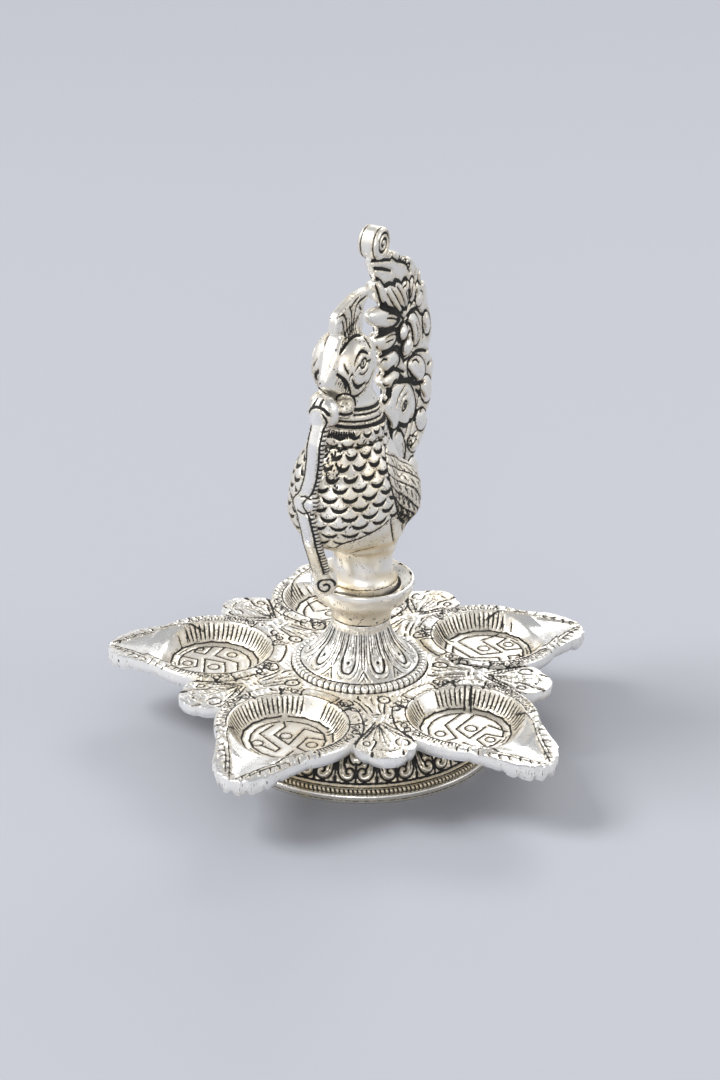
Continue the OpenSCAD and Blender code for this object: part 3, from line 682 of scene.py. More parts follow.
def tray_under(p):
    """Height of the underside over the plan."""
    r = np.hypot(p[:, 0], p[:, 1])
    s = star_place(p)[1]
    z = FOOT_H - (DROOP + LEAF_TIP_T - TRAY_T) * curve(p[:, 0] / REACH, DROOP_UNDER)
    z = z - 0.4 * smooth(r - HALF_W + 0.5) * smooth((s - 33) / 2)
    bowl_r = BOWL_UNDER[-1][0]
    return np.where(r < bowl_r, np.minimum(z, curve(np.minimum(r, bowl_r), BOWL_UNDER)), z)


def chase_cup(chart):
    """Flutes of the cup's wall, its rim, and the lines that lead into the spout."""
    for k in range(68):
        a = (k + 0.5) * 360 / 68
        if 42 <= min(a, 360 - a) <= 171:
            chart.line([polar(12.1, a), polar(14.35, a)], 0.2, 0.2, taper=0.5, soft=0.25)
    for side in SIDES:
        flip = np.array([1, side])
        chart.line([[10.3, 6.0], [11.5, 7.7]] * flip, 0.15, 0.12, taper=0.5)
        chart.line([[9.0, 8.0], [9.8, 9.7]] * flip, 0.15, 0.12, taper=0.5)
        chart.line(spline((SPOUT[1:] + [0.25, 0.3]) * flip), 0.12, 0.12)
        chart.line(spline((SPOUT[4:8] + [0.5, 1.25]) * flip), 0.13, 0.14, taper=0.4)
    chart.line(arc(0, 0, 15.25, 56, 304, n=70), 0.12, 0.14)


def chase_band(chart):
    """The band round the cup: three smooth plates, with curls, beads and notches between them."""
    for at, span in ((180, 14), (131, 11), (229, 11)):
        plate = [arc(0, 0, 15.6, at - span, at + span, n=9), arc(0, 0, 18.1, at + span, at - span, n=9)]
        chart.pad(np.vstack(plate), 0.14)
        chart.line(arc(0, 0, 18.5, at - span - 1, at + span + 1, n=12), 0.17, 0.22)
        chart.ridge(arc(0, 0, 16.85, at - span * 0.45, at + span * 0.45, n=6), 0.5, 0.2, taper=0.5)
        for side in SIDES:
            a = at + side * (span + 1.5)
            chart.line([polar(15.3, a), polar(16.6, a + 1.5 * side), polar(18.4, a)], 0.2, 0.24, taper=0.3)
            chart.dots([polar(15.2, a + side)], 0.42, 0.3)
    for side in SIDES:
        for a, r in ((157, 16.6), (151, 17.6), (112, 16.8), (103.5, 17.3), (94, 16.7)):
            chart.loop(*polar(r, a * side), 0.95, 0.8, 0.15, 0.2, turn=a)
            chart.dots([polar(r, a * side)], 0.22, 0.25)
        for a in (163.5, 147, 145.5, 117, 107.5, 99, 89.5):
            chart.line([polar(15.7, a * side), polar(17.9, a * side)], 0.13, 0.2, taper=0.5)
        for k, a in enumerate(np.arange(53, 88, 3.1)):
            odd = k % 2
            chart.line([polar(15.5, a * side), polar(16.4 + 0.5 * odd, a * side)], 0.13, 0.18)
            if not odd:
                chart.dots([polar(17.3, (a + 1.5) * side)], 0.2, 0.18)
        chart.line(arc(0, 0, 18.75, 86 * side, 122 * side, n=9), 0.14, 0.2)
        chart.mounds([polar(17.75, a * side) for a in np.arange(56, 150, 5.2)], 0.72, 0.3)


# Lobes of the leaf's acanthus edge: place, and the reach of their stroke along and across
ACANTHUS = ((10.6, 14.6, 0.9, 1.4), (12.8, 13.0, 1.0, 1.3), (15.0, 11.4, 1.1, 1.1), (17.2, 10.0, 1.2, 0.8),
            (19.4, 8.5, 1.3, 0.7), (21.3, 7.0, 1.5, 0.9), (23.2, 5.2, 1.4, 0.9), (25.0, 3.5, 1.2, 0.9),
            (26.3, 2.1, 1.0, 0.7))


def chase_leaf(chart):
    """Acanthus edge of the large leaf: lobes parted by short strokes and drops."""
    for side in SIDES:
        flip = np.array([1, side])
        for u, v, du, dv in ACANTHUS:
            stroke = [[u - du, v - dv * 0.9], [u - 0.2 * du, v - 0.1 * dv], [u + 0.2, v + 0.25 * dv]]
            chart.line(stroke * flip, 0.15, 0.18, taper=0.6)
            chart.dots([[u - 0.75 * du, v - 1.35 * dv]] * flip, 0.2, 0.2)
            chart.ridge([[u - 0.9 * du + 0.8, v - dv], [u + 0.5, v - 0.3]] * flip, 0.5, 0.14, taper=0.6)
        edge = spline([[9.0, 16.0], [13.0, 13.4], [17.0, 10.6], [20.4, 8.6]] * flip)
        chart.line(edge, 0.07, 0.1, ink=False)


# The star of scrolls between the cups, along a small leaf's axis from the lamp's axis, then across
HUB_STROKES = (
    (0.22, [[22.9, 3.0], [25.5, 2.5], [28.0, 2.1]]), (0.16, [[22.3, 1.4], [25.0, 1.25], [27.8, 1.4]]),
    (0.22, [[22.4, -2.1], [24.6, -1.2], [27.2, -0.7]]),
    (0.22, [[20.4, -4.4], [22.6, -3.2], [25.0, -2.6], [27.6, -1.9]]),
    (0.14, [[18.6, 0.3], [21.0, -0.1], [24.0, 0.3]]), (0.26, [[18.2, -3.0], [19.6, -3.2], [20.8, -2.6]]),
    (0.2, [[24.2, -4.0], [25.8, -3.6], [26.8, -4.6], [26.4, -5.8], [25.2, -6.0]]),
    (0.3, [[26.0, 6.4], [27.2, 5.8], [27.4, 4.4]]), (0.18, [[24.2, 4.0], [25.2, 4.8], [25.0, 6.2]]),
    (0.16, [[29.0, 3.4], [30.4, 3.0], [31.2, 3.9]]), (0.16, [[29.6, -3.2], [30.8, -2.6], [31.8, -3.4]]),
    (0.17, [[28.2, 1.3], [28.3, -1.1]]), (0.14, [[29.5, 0.7], [29.7, -0.5]]))
HUB_DOTS = ((19.0, 5.6), (18.6, 2.0), (19.3, -1.3), (23.4, 5.3), (23.9, -7.9), (27.6, -3.4), (31.4, 5.0),
            (31.6, -4.9), (33.0, 3.0), (33.3, -3.2))
HUB_BEADS = ((19.8, 6.3), (24.6, 0.3), (26.4, 0.35), (30.6, 0.8), (30.6, -1.2), (24.9, 7.4), (28.8, 5.2),
             (28.9, -5.6), (32.6, 5.2), (34.4, 4.9), (34.2, -5.2), (36.4, 6.9), (36.2, -6.9))
SMALL_STROKES = (
    (0.22, [[32.4, 0.9], [34.6, 2.8], [37.0, 4.7], [39.2, 5.9], [41.0, 6.9], [43.2, 7.3]]),
    (0.16, [[33.0, 0.3], [35.4, 1.7], [38.0, 3.6], [40.4, 5.5]]),
    (0.24, [[32.4, -0.9], [34.4, -2.2], [37.4, -4.2], [40.2, -6.1], [43.0, -7.3], [45.0, -7.7]]),
    (0.14, [[33.2, -0.8], [35.6, -2.0], [38.0, -3.4], [40.8, -5.3]]),
    (0.24, [[40.9, 4.6], [41.5, 5.6], [42.9, 5.9], [44.0, 5.4], [44.0, 4.6]]),
    (0.18, [[40.6, 3.8], [41.3, 3.0], [42.6, 2.7], [44.2, 3.2]]),
    (0.24, [[40.4, -2.5], [41.8, -2.1], [43.4, -2.6], [45.6, -3.8]]),
    (0.38, 0.3, 0.3, [[46.4, -3.7], [48.6, -4.1]]), (0.26, 0.3, 0.3, [[46.2, 4.0], [48.2, 3.7]]),
    (0.1, 0.14, 0.4, [[45.2, 3.1], [46.2, 1.9], [46.5, 0.2], [46.1, -1.5], [45.2, -2.6]]))
SMALL_FAN = ([39.6, 3.3], [42.6, 1.3], [43.6, 0.1], [43.4, -1.3], [41.2, -2.9], [39.8, -4.1])
SMALL_DOTS = ((44.3, 0.5), (42.7, -0.7), (45.4, 1.9), (45.6, -1.4), (46.8, 0.5))


def chase_star(chart, beta):
    """Half the hub's scrolls and half a small leaf, on one side of the cup."""
    def at(points):
        return from_ray(points, beta)

    for s, v, rx, ry, w in ((20.6, 3.2, 1.9, 1.5, 0.24), (21.9, -6.5, 1.9, 1.7, 0.22)):
        chart.line(at(arc(s, v, rx, 0, 360, ry, 17)), w, 0.24)
        chart.dots(at([[s - 0.2, v]]), 0.3, 0.25)
    chart.draw(HUB_STROKES, at, step=0.5)
    chart.dots(at(HUB_DOTS), 0.26, 0.22)
    chart.mounds(at(HUB_BEADS), 0.75, 0.28)
    chart.ridge(at([[20.0, -2.0], [24.5, 0.2], [28.0, 0.4]]), 0.8, 0.22, taper=0.5)
    # small leaf: double laddered edges, fan, two curls and two drops
    chart.draw(SMALL_STROKES, at, step=0.5)
    for k in range(7):
        s = 34.6 + 0.85 * k
        for side in SIDES:
            foot = (s - 32.2) * 0.62
            chart.line(at([[s, side * foot], [s + 0.15, side * (foot + 0.95)]]), 0.09, 0.14, taper=0.4)
    fan = [(0.085, [[33.2, -0.1], [(33.2 + s) / 2, v * 0.52 - 0.05], [s, v]]) for s, v in SMALL_FAN]
    chart.draw(fan, at, step=0.5, depth=0.12)
    chart.line(at(arc(42.4, -4.5, 1.15, 0, 360, 0.85, 17)), 0.17, 0.24)
    chart.dots(at(SMALL_DOTS), 0.2, 0.2)


def fill_ground(chart, count=420):
    """Small ticks and beads of the rough ground, wherever the larger work leaves room."""
    rng = np.random.default_rng(11)
    for _ in range(count):
        axis, a = rng.uniform(18.6, 50), math.radians(rng.uniform(-35, 35))
        q = np.array([axis * math.cos(a) - CUP_AT, axis * math.sin(a)])
        r = math.hypot(*q)
        along = axis * math.cos(math.radians(36) - abs(a))
        if r < 15.9 or (r > HALF_W - 0.8 and along > 46) or (r > HALF_W and q[0] > 2):
            continue
        idx = chart.near(q - 0.4, q + 0.4)
        if not len(idx) or chart.ink[idx].min() < 0.25:
            continue
        turn = rng.uniform(0, math.pi)
        d = np.array([math.cos(turn), math.sin(turn)])
        if rng.random() < 0.6:
            size = rng.uniform(0.35, 0.7)
            chart.line(spline([q - d * size, q + d[::-1] * 0.2, q + d * size]), 0.12, 0.18, taper=0.4)
        else:
            chart.ridge([q], 0.6, 0.22)
            chart.line(arc(*q, 0.62, 20, 200), 0.09, 0.14, taper=0.3)


# The outlined good-luck cross on a cup's floor, first that of the front left cup, then that of the others:
# arcs as radius and two angles, strokes, and rings as place and radius
FLOOR_FIGURES = (
    (((9.4, -218, -150), (9.4, -140, 135), (11.4, -215, -152), (11.4, -143, 130)),
     ([[-4.7, 8.4], [-3.4, 3.7], [2.2, 3.8]], [[-7.05, 6.4], [-7.05, 0.9], [1.95, 1.4]],
      [[4.7, 0.5], [0.7, -7.5], [-4.9, -6.7]], [[1.95, 1.4], [-0.6, -4.2], [-5.6, -3.7], [-7.7, -5.3]],
      [[4.2, 3.9], [8.7, 3.6]], [[4.7, 0.5], [6.6, 0.3], [5.6, -4.6]], [[2.2, 3.8], [3.4, 8.7]],
      [[-8.6, 9.0], [-6.8, 7.6]], [[-9.6, 8.0], [-7.9, 6.9]]),
     ((-1.6, -1.3, 1.5), (-0.8, 6.4, 1.4), (6.3, 6.1, 1.3), (5.2, -5.6, 1.4))),
    (((9.4, -222, 20), (9.4, 30, 118), (11.4, -226, 124)),
     ([[-7.3, 6.1], [-5.8, -1.5], [0.9, -4.2]], [[-4.5, 7.6], [-2.5, -0.9], [3.0, -1.9], [1.6, 5.6]],
      [[1.5, 6.5], [7.2, 7.5]], [[4.7, -1.0], [4.2, 2.8], [8.2, 4.8]], [[4.7, -1.0], [8.9, -2.0]],
      [[3.6, -4.4], [6.6, -5.0], [6.2, -7.2]], [[0.9, -4.2], [-0.6, -9.0]], [[3.6, -4.4], [2.4, -9.0]],
      [[-10.6, 10.6], [-7.6, 7.4]], [[-9.3, 11.6], [-6.0, 8.2]]),
     ((-0.2, 2.1, 1.5), (6.9, 1.5, 1.25), (-3.4, -5.6, 1.3), (5.4, -7.0, 0.9))))


def floor_figure(chart, figure):
    """The figure of one cup; the castings differ a little from cup to cup."""
    arcs, strokes, rings = figure
    for path in [arc(0, 0, *turn) for turn in arcs] + list(strokes):
        chart.line(path, 0.2, 0.16)
    for x, y, r in rings:
        chart.loop(x, y, r, w=0.16, depth=0.16)
    for side in SIDES:
        chart.line(arc(0, 0, 10.35, 12 * side, 34 * side), 0.13, 0.12)


def circle_points(r, n, shift=0.0):
    a = (np.arange(n) + shift) * 2 * math.pi / n
    return np.stack([r * np.cos(a), r * np.sin(a)], 1)


def tray_plan(ring, step):
    """Points of the tray's top: circles in the cup, an even spread elsewhere, and the cone's seat."""
    cup = [circle_points(r, max(6, int(2 * math.pi * r / 0.33)), 0.5 * (int(r * 10) % 2))
           for r in np.arange(0.32, 11.7, 0.33)]
    cup += [circle_points(r, 272) for r in np.arange(11.85, 15.3, 0.26)]
    cup += [circle_points(r, 290) for r in (15.45, 15.7)] + [[[0.0, 0.0]]]
    rest = hexagons(ring, step)
    rest = rest[np.hypot(rest[:, 0], rest[:, 1]) > 15.9]
    points = clear_of(np.vstack(cup + [rest]), ring, step * 0.55)
    axis = np.hypot(points[:, 0] + CUP_AT, points[:, 1])
    points = points[(axis > RING_R + 0.45) | (axis < RING_R - 0.2)]
    seats = [arc(-CUP_AT, 0, r, -35.2, 35.2, n=60) for r in (RING_R + 0.05, RING_R + 0.22)]
    return np.vstack([points] + seats)


def add_fifths(part, plan, z, faces, ink=FAR, tone=0.0):
    """Adds the same patch to each fifth of the tray; z and ink may be lists with one row for each."""
    for k in range(CUPS):
        xy = turned(plan + [CUP_AT, 0], FIRST_CUP + 72 * k)
        own_z, own_ink = (row[k] if isinstance(row, list) else row for row in (z, ink))
        part.add(np.column_stack([xy, own_z]), faces, own_ink, tone)


def tray_top(part, ring, outer, step):
    """The chased upper side. Returns the height of its outer edge."""
    plan, tris = triangulate(tray_plan(ring, step), ring)
    level = tray_level(plan)
    chart = Relief(plan)
    chase_cup(chart)
    chase_band(chart)
    chase_leaf(chart)
    for beta in (-36, 36):
        chase_star(chart, beta)
    fill_ground(chart)
    edge = np.clip(edge_distance(plan, ring[:outer]), 0, 2)
    r, axis = np.hypot(plan[:, 0], plan[:, 1]), star_place(plan)[0]
    # uneven cast ground outside cup and spout
    x, y = plan[:, 0], plan[:, 1]
    rough = 0.05 * (np.sin(x * 3.1 + 1.3) * np.sin(y * 2.7 + 0.4) + np.sin(x * 5.3 + y * 4.1))
    in_spout = (x > 4) & (np.abs(y) < spout_width(plan))
    rough = np.where((r > 15.4) & (axis > RING_R + 0.3) & ~in_spout, rough, 0.0)
    tops, inks = [], []
    for k in range(CUPS):
        own = copy.deepcopy(chart)
        floor_figure(own, FLOOR_FIGURES[min(k, 1)])
        high = (np.minimum(own.height(), 0.32) + rough) * smooth((edge - 0.15) / 0.7)
        tops.append(np.minimum(level + high, TOP) - 0.16 * (1 - smooth(edge / 0.3)))
        inks.append(np.where(axis < RING_R + 0.5, np.minimum(own.ink, axis - RING_R - 0.35), own.ink))
    tone = 0.13 * smooth((15.2 - r) / 1.5) + 0.18 * smooth((28 - axis) / 6) * (r > 15.2)
    add_fifths(part, plan, tops, tris, inks, tone)
    return tops[-1][:outer]


def wall_ink(along, rows):
    """Fine file marks all along the side wall, and streaks on the tip."""
    scratch = Relief(np.stack([np.tile(along, rows), np.repeat(np.linspace(0, 4, rows), len(along))], 1))
    rng = np.random.default_rng(7)
    for _ in range(46):
        s, top = rng.uniform(2, along[-1] - 2), rng.uniform(0.2, 2.0)
        scratch.line([[s, top], [s + rng.uniform(-0.2, 0.2), top + rng.uniform(0.5, 1.6)]], 0.03, 0.03)
    for d in np.arange(0.8, 9.5, 0.75):
        for side in SIDES:
            s = along[-1] / 2 + side * d
            top, foot = 0.7 + 0.4 * (int(d * 4) % 3), 2.4 + 0.8 * (int(d * 4) % 2)
            scratch.line([[s, top], [s + 0.15 * side, foot]], 0.06, 0.15, taper=0.5)
    return scratch.ink + 0.05


def build_tray():
    part = Part()
    step = 0.34
    ring, outer = sector_outline(step)
    top_edge = tray_top(part, ring, outer, step)
    # side wall: filed plain, a little rounded, with lobes cut into the lower edge of the tip
    edge, rows = ring[:outer], 7
    share = np.linspace(0, 1, rows)[:, None]
    tangent = np.gradient(edge, axis=0)
    normal = unit(np.stack([tangent[:, 1], -tangent[:, 0]], 1))
    along = run_length(edge)
    scallop = np.abs(np.sin((along - along[len(along) // 2]) * math.pi / 4.4))
    low_edge = tray_under(edge) + smooth((edge[:, 0] - 18) / 4) * 1.2 * (1 - scallop) ** 2
    bulge = np.sin(share * math.pi) * 0.12 - 0.3 * share ** 3 - 0.08
    bulge[0] = 0
    wall = (edge + normal * bulge[:, :, None]).reshape(-1, 2)
    heights = (top_edge + (low_edge - top_edge) * share).ravel()
    add_fifths(part, wall, heights, grid_faces(rows, outer, False)[:, ::-1], wall_ink(along, rows))
    # underside
    under_ring = ring.copy()
    under_ring[:outer] = wall[-outer:]
    under, tris = triangulate(clear_of(hexagons(ring, 0.95), under_ring, 0.45), under_ring)
    heights = tray_under(under)
    heights[:outer] = low_edge
    add_fifths(part, under, heights, tris[:, ::-1], tone=0.25)
    revolve(part, [[INNER_R, FOOT_H], [INNER_R, CONE_Z + 0.05]], 90, flip=True)
    part.make("tray_casting", "tray", TRAY_SILVER, sharp=55, weld=True)


# Cone: half a petal, in degrees round the axis and millimetres up the skin
CONE_SHARES = [[0.17, 0.78], [0.28, 0.58], [0.41, 0.38], [0.56, 0.19], [0.72, 0.07], [0.86, 0.0], [1, 0]]
CONE_RING = [[-0.3, 0.05], [0, 0.7], [0, 1.6], [-0.5, 2.15], [-1.3, 2.3], [-1.75, 2.25]]
PETAL_TIP = (
    (0.3, 0.3, 0.3, [[0, 6.6], [3.2, 6.75], [6.6, 7.6], [8.8, 9.1], [9.3, 10.2]]),
    (0.17, 0.26, 0.4, [[20, 7.6], [17.8, 6.6], [15.4, 5.4], [13.2, 4.7]]))
PETAL_SIDES = (
    (0.16, 0.22, 0.2, [[9.3, 10.2], [8.6, 12.5], [8.0, 15.0], [7.6, 17.0]]),
    (0.1, 0.2, 0, [[0, 5.15], [5.0, 5.3], [9.5, 6.2], [13.0, 8.4], [14.2, 10.8], [14.0, 14.0], [13.6, 17.2]]))
PETAL_VEINS = (
    (0.12, 0.16, 0.5, [[4.4, 11.2], [4.0, 14.0], [3.6, 16.6]]), (0.06, 0.1, 0.5, [[0.9, 10.9], [0.9, 14.4]]),
    (0.15, 0.24, 0.3, [[18.4, 8.0], [17.6, 12.0], [17.4, 17.0]]), (0.12, 0.2, 0, [[18.0, 4.7], [20.0, 5.9]]),
    (0.17, 0.3, 0, [[-20, 3.95], [0, 3.95], [20, 3.95]]), (0.2, 0.2, 0, [[-20, 0.2], [0, 0.2], [20, 0.2]]))
PETAL_EDGE = [[11.6, 17.0], [11.8, 13.0], [11.8, 10.0], [10.4, 7.6], [6.5, 6.1], [0, 5.8]]


def chase_petals(sector, half):
    chart = sector.chart
    for k in range(7):
        d = -half + (k + 0.5) * 2 * half / 7
        chart.line(sector.place([[d, 0.5], [d, 3.5]]), 0.17, 0.3, soft=0.3)
    for side in SIDES:
        sector.draw(PETAL_TIP, side, step=0.4)
        sector.draw(PETAL_SIDES, side, step=0.5)
        sector.draw(PETAL_VEINS, side, step=None)
        chart.ridge(spline(sector.place(PETAL_EDGE, side), 0.5), 0.6, 0.28)
        chart.ridge(spline(sector.place([[20, 17.0], [20, 12.0], [20, 8.4]], side), 0.5), 0.5, 0.3)
    chart.dots(sector.place([[0, 9.4]]), 0.45, 0.3)
    chart.ridge(sector.place([[0, 8.3], [0, 12.5]]), 1.4, 0.22, taper=0.4)
    # the lines run out below the neck
    up = chart.p[:, 1]
    chart.ink = np.where(up > 15.8, np.maximum(chart.ink, (up - 16.6) * 0.3), chart.ink)


def build_cone():
    part = Part()
    step, half = 0.24, 180 / PETALS
    ring_top = [[RING_R + r, CONE_Z + z] for r, z in CONE_RING]
    skin_top = [[NECK_R + b * (RING_R - NECK_R), CONE_Z + a * CONE_H] for a, b in CONE_SHARES]
    profile = dense(ring_top + skin_top, step)
    profile[:, 0] = np.minimum(profile[:, 0], RING_R)
    cols = 52
    sector = Sector(profile, step, half, cols, PETALS)
    chase_petals(sector, half)
    up = sector.length
    fade = np.where(up < 0.3, 0, 1) * smooth((18.2 - up) / 1.6)
    high = sector.rows(sector.chart.height()) - 0.32 * smooth((up - 4.1) / 0.6)[:, None]
    high = high * fade[:, None]
    # the ribbed ring is only cut, never raised
    high = np.where((up < 4.0)[:, None], np.minimum(high, -0.02), high)
    sector.revolve(part, high, turn=-78 - half + half / cols)
    top, seat_r = CONE_Z + CONE_H, RING_R - 0.3
    revolve(part, [[NECK_R, top - 0.02], [BORE_R, top], [BORE_R, CONE_Z], [seat_r, CONE_Z],
                   [seat_r, CONE_Z + 0.05]], 90)
    part.make("petal_cone_casting", "petal_cone", CONE_SILVER)


# Saucer: its outside as shares of height and flare, and its rim inward and down from the lip
SAUCER_SHARES = [[0.012, 0.0], [0.06, 0.01], [0.2, 0.1], [0.36, 0.32], [0.5, 0.62], [0.66, 0.85],
                 [0.84, 0.97], [0.93, 0.99], [0.975, 0.985]]
SAUCER_LIP = [[SAUCER_R - 0.25, -0.06], [SAUCER_R - 0.6, 0], [SAUCER_R - 1.1, -0.15], [SAUCER_R - 2.2, -0.95],
              [9.9, -1.7], [9.2, -DISH], [BORE_R, -DISH]]


def build_saucer():
    part = Part()
    flare, top = SAUCER_R - NECK_R, SAUCER_Z + SAUCER_H
    outer = dense([[NECK_R + b * flare, SAUCER_Z + a * SAUCER_H] for a, b in SAUCER_SHARES], 0.3)
    neck = [[BORE_R, SAUCER_Z], [NECK_R - 0.05, SAUCER_Z]]
    profile = np.vstack([neck, outer, [[r, top + z] for r, z in SAUCER_LIP]])
    cols, rows = 240, len(profile)
    a = np.arange(cols) * 2 * math.pi / cols
    ink = np.full((rows, cols), FAR)
    # dark joint to the cone, dark floor corner and worn lip
    joint = 0.25 * np.sin(5 * a + 1.0) * np.sin(2 * a)
    ink[1:4] = np.array([[-0.1], [0.0], [0.35]]) + joint
    floor = np.argmin(np.abs(profile[:, 0] - 9.9) + 9 * (profile[:, 1] < SAUCER_Z + 6))
    ink[floor:floor + 2] = -0.05
    lip = rows - 6
    ink[lip:lip + 2] = 0.55 * np.abs(np.sin(3.5 * a + 1.0) + 0.6 * np.sin(11 * a + 2.0)
                                     + 0.3 * np.sin(29 * a)) - 0.08
    ink = np.minimum(ink, FAR)
    wave = 0.06 * np.sin(3 * a + 0.5) * smooth((np.arange(rows)[:, None] - 6) / 6)
    tone = 0.42 * smooth((SAUCER_Z + 8.5 - profile[:, 1:]) / 3)
    revolve(part, profile, cols, ink, wave - 0.06, tone=tone)
    part.make("saucer_casting", "saucer", BIRD_SILVER)


# Bird: skins of soft solids, closed over a fine grid
def skin(field, lo, step):
    """Closed surface round the negative part of a 3-D field: vertices and quads."""
    neg = field < 0
    shape = np.array(field.shape) - 1
    corners = np.array([[i, j, k] for i in (0, 1) for j in (0, 1) for k in (0, 1)])
    count = sum(neg[i:i + shape[0], j:j + shape[1], k:k + shape[2]].astype(int) for i, j, k in corners)
    active = (count > 0) & (count < 8)
    cells = np.argwhere(active)
    index = np.full(shape, -1)
    index[active] = np.arange(len(cells))
    return lo + step * crossing_means(field, cells, corners), skin_quads(neg, index, shape)


def crossing_means(field, cells, corners):
    """In each cell, the mean of the places where its edges cross the surface."""
    total, hits = np.zeros((len(cells), 3)), np.zeros(len(cells))
    for a in corners:
        for axis in range(3):
            if a[axis]:
                continue
            b = a.copy()
            b[axis] = 1
            fa, fb = field[tuple((cells + a).T)], field[tuple((cells + b).T)]
            cross = (fa < 0) != (fb < 0)
            t = fa[cross] / (fa[cross] - fb[cross])
            total[cross] += cells[cross] + a + t[:, None] * (b - a)
            hits[cross] += 1
    return total / hits[:, None]


def skin_quads(neg, index, shape):
    """A quad through the four cells round each grid edge that crosses the surface."""
    quads = []
    for axis in range(3):
        u, v = (axis + 1) % 3, (axis + 2) % 3
        first, second = [slice(None)] * 3, [slice(None)] * 3
        first[axis], second[axis] = slice(0, -1), slice(1, None)
        change = np.argwhere(neg[tuple(first)] != neg[tuple(second)])
        inner = (change[:, [u, v]] > 0).all(1) & (change[:, [u, v]] < shape[[u, v]]).all(1)
        change = change[inner]
        du, dv = np.eye(3, dtype=int)[u], np.eye(3, dtype=int)[v]
        quad = np.stack([index[tuple((change - s * du - t * dv).T)]
                         for s, t in ((1, 1), (0, 1), (0, 0), (1, 0))], 1)
        out = neg[tuple(change.T)]
        quads.append(np.where(out[:, None], quad, quad[:, ::-1]))
    return np.vstack(quads)


def lattice(lo, hi, step):
    """Coordinates of a grid of points in a box."""
    return np.meshgrid(*[np.arange(a, b + step, step) for a, b in zip(lo, hi)], indexing="ij")


def blend(a, b, k):
    """Union of two solids with a fillet of about k."""
    h = np.clip(0.5 + 0.5 * (b - a) / k, 0, 1)
    return b + (a - b) * h - k * h * (1 - h)


def outline_distance(y, z, ring):
    """Signed distance to a closed outline in a plane, less than nothing inside."""
    q = np.stack([y.ravel(), z.ravel()], 1)
    best = ring_distance(q, ring)
    return np.where(inside(q, ring), -best, best).reshape(y.shape)


def rounded_plate(d, x, half, r):
    """A plate of half thickness half, its outline's distance d, edges rounded by r."""
    w = np.abs(x) - half
    a, b = np.maximum(d + r, 0), np.maximum(w + r, 0)
    return np.hypot(a, b) + np.minimum(np.maximum(d + r, w + r), 0) - r


def egg(p, middle, radii):
    """How far p is from a middle, as a multiple of three radii."""
    return np.sqrt(sum(((a - m) / r) ** 2 for a, m, r in zip(p, middle, radii)))


def lumps(v, pitch, size):
    """The uneven skin of a casting."""
    x, y, z = v.T
    return size * np.sin(x * pitch[0] + 1) * np.sin(z * pitch[2]) * np.sin(y * pitch[1] + 2)


RAY_Y, RAY_Z = 1.98, 1.02       # the side charts are drawn aslant: this far back and down for each mm outward


def side_chart(v, plane, origin):
    out = np.abs(v[:, 0]) - plane
    return np.stack([v[:, 1] - origin[0] + RAY_Y * out, v[:, 2] - origin[1] - RAY_Z * out], 1)


def facing(n, v):
    """How far each vertex looks along the slant of the side charts, on its own side."""
    side = np.where(v[:, 0] < 0, -1.0, 1.0)
    return n[:, 0] * side * 0.41 - n[:, 1] * 0.81 + n[:, 2] * 0.42


def round_degrees(degrees):
    """Angles round the bird as -270 to 90, its front at -90."""
    return (degrees + 270) % 360 - 270


# Rows up the bird, as shares: height, lean to the front, half width and half length
BELLY = [[0.07, 0.15, 0.70, 0.63], [0.13, 0.30, 0.80, 0.78], [0.175, 0.45, 0.86, 0.87],
         [0.234, 0.60, 0.91, 0.94], [0.32, 0.80, 0.965, 0.99], [0.468, 1, 1, 1],
         [0.614, 1, 0.97, 0.965], [0.76, 0.98, 0.89, 0.91], [0.848, 0.95, 0.80, 0.80],
         [0.936, 0.96, 0.71, 0.69], [1, 0.97, 0.655, 0.63]]
PLINTH = [[0, 1], [0.17, 1], [0.27, 0.5], [0.45, 0.1], [0.62, 0], [0.8, 0.12], [1, 0.5]]
NECK = [[0, 0.97, 0.655, 0.63], [0.16, 0.98, 0.655, 0.62], [0.2, 0.99, 0.6, 0.57], [0.42, 1.04, 0.54, 0.5],
        [0.62, 1.14, 0.45, 0.42], [0.95, 1.3, 0.3, 0.3]]
WING = [[0.16, -0.05, 0.15, 0.12], [0.26, 0, 0.6, 0.3], [0.4, 0.06, 1, 0.42], [0.56, 0.14, 1, 0.46],
        [0.68, 0.25, 0.75, 0.4], [0.78, 0.36, 0.2, 0.16]]
BODY_HALF_W, BODY_HALF_L, LEAN, BELLY_H, HEAD_UP = 13.7, 17.4, 10.0, 34.0, 19.1
WING_W, WING_X = 6.26, 9.04


def rings(table, z, h, half_w=BODY_HALF_W):
    """Rows of shares in millimetres, over a height h from z."""
    return [[z + a * h, b * LEAN, c * half_w, d * BODY_HALF_L] for a, b, c, d in table]


TORSO = np.array([[BODY_Z + a * 10.6, 0, 7.8 + b * 1.5, 7.8 + b * 1.5] for a, b in PLINTH]
                 + rings(BELLY, BELLY_Z, BELLY_H))
NECK_RINGS = np.array(rings(NECK, BODY_TOP, HEAD_UP))
WING_RINGS = np.array(rings(WING, BELLY_Z, BELLY_H, WING_W))
PER_DEGREE = 0.245              # millimetres of the body's chart for each degree round it
SCALE_ROW, SCALE_TURN, SCALES_FROM, SCALE_L = 2.36, 360 / 17, 60.1, 4.5
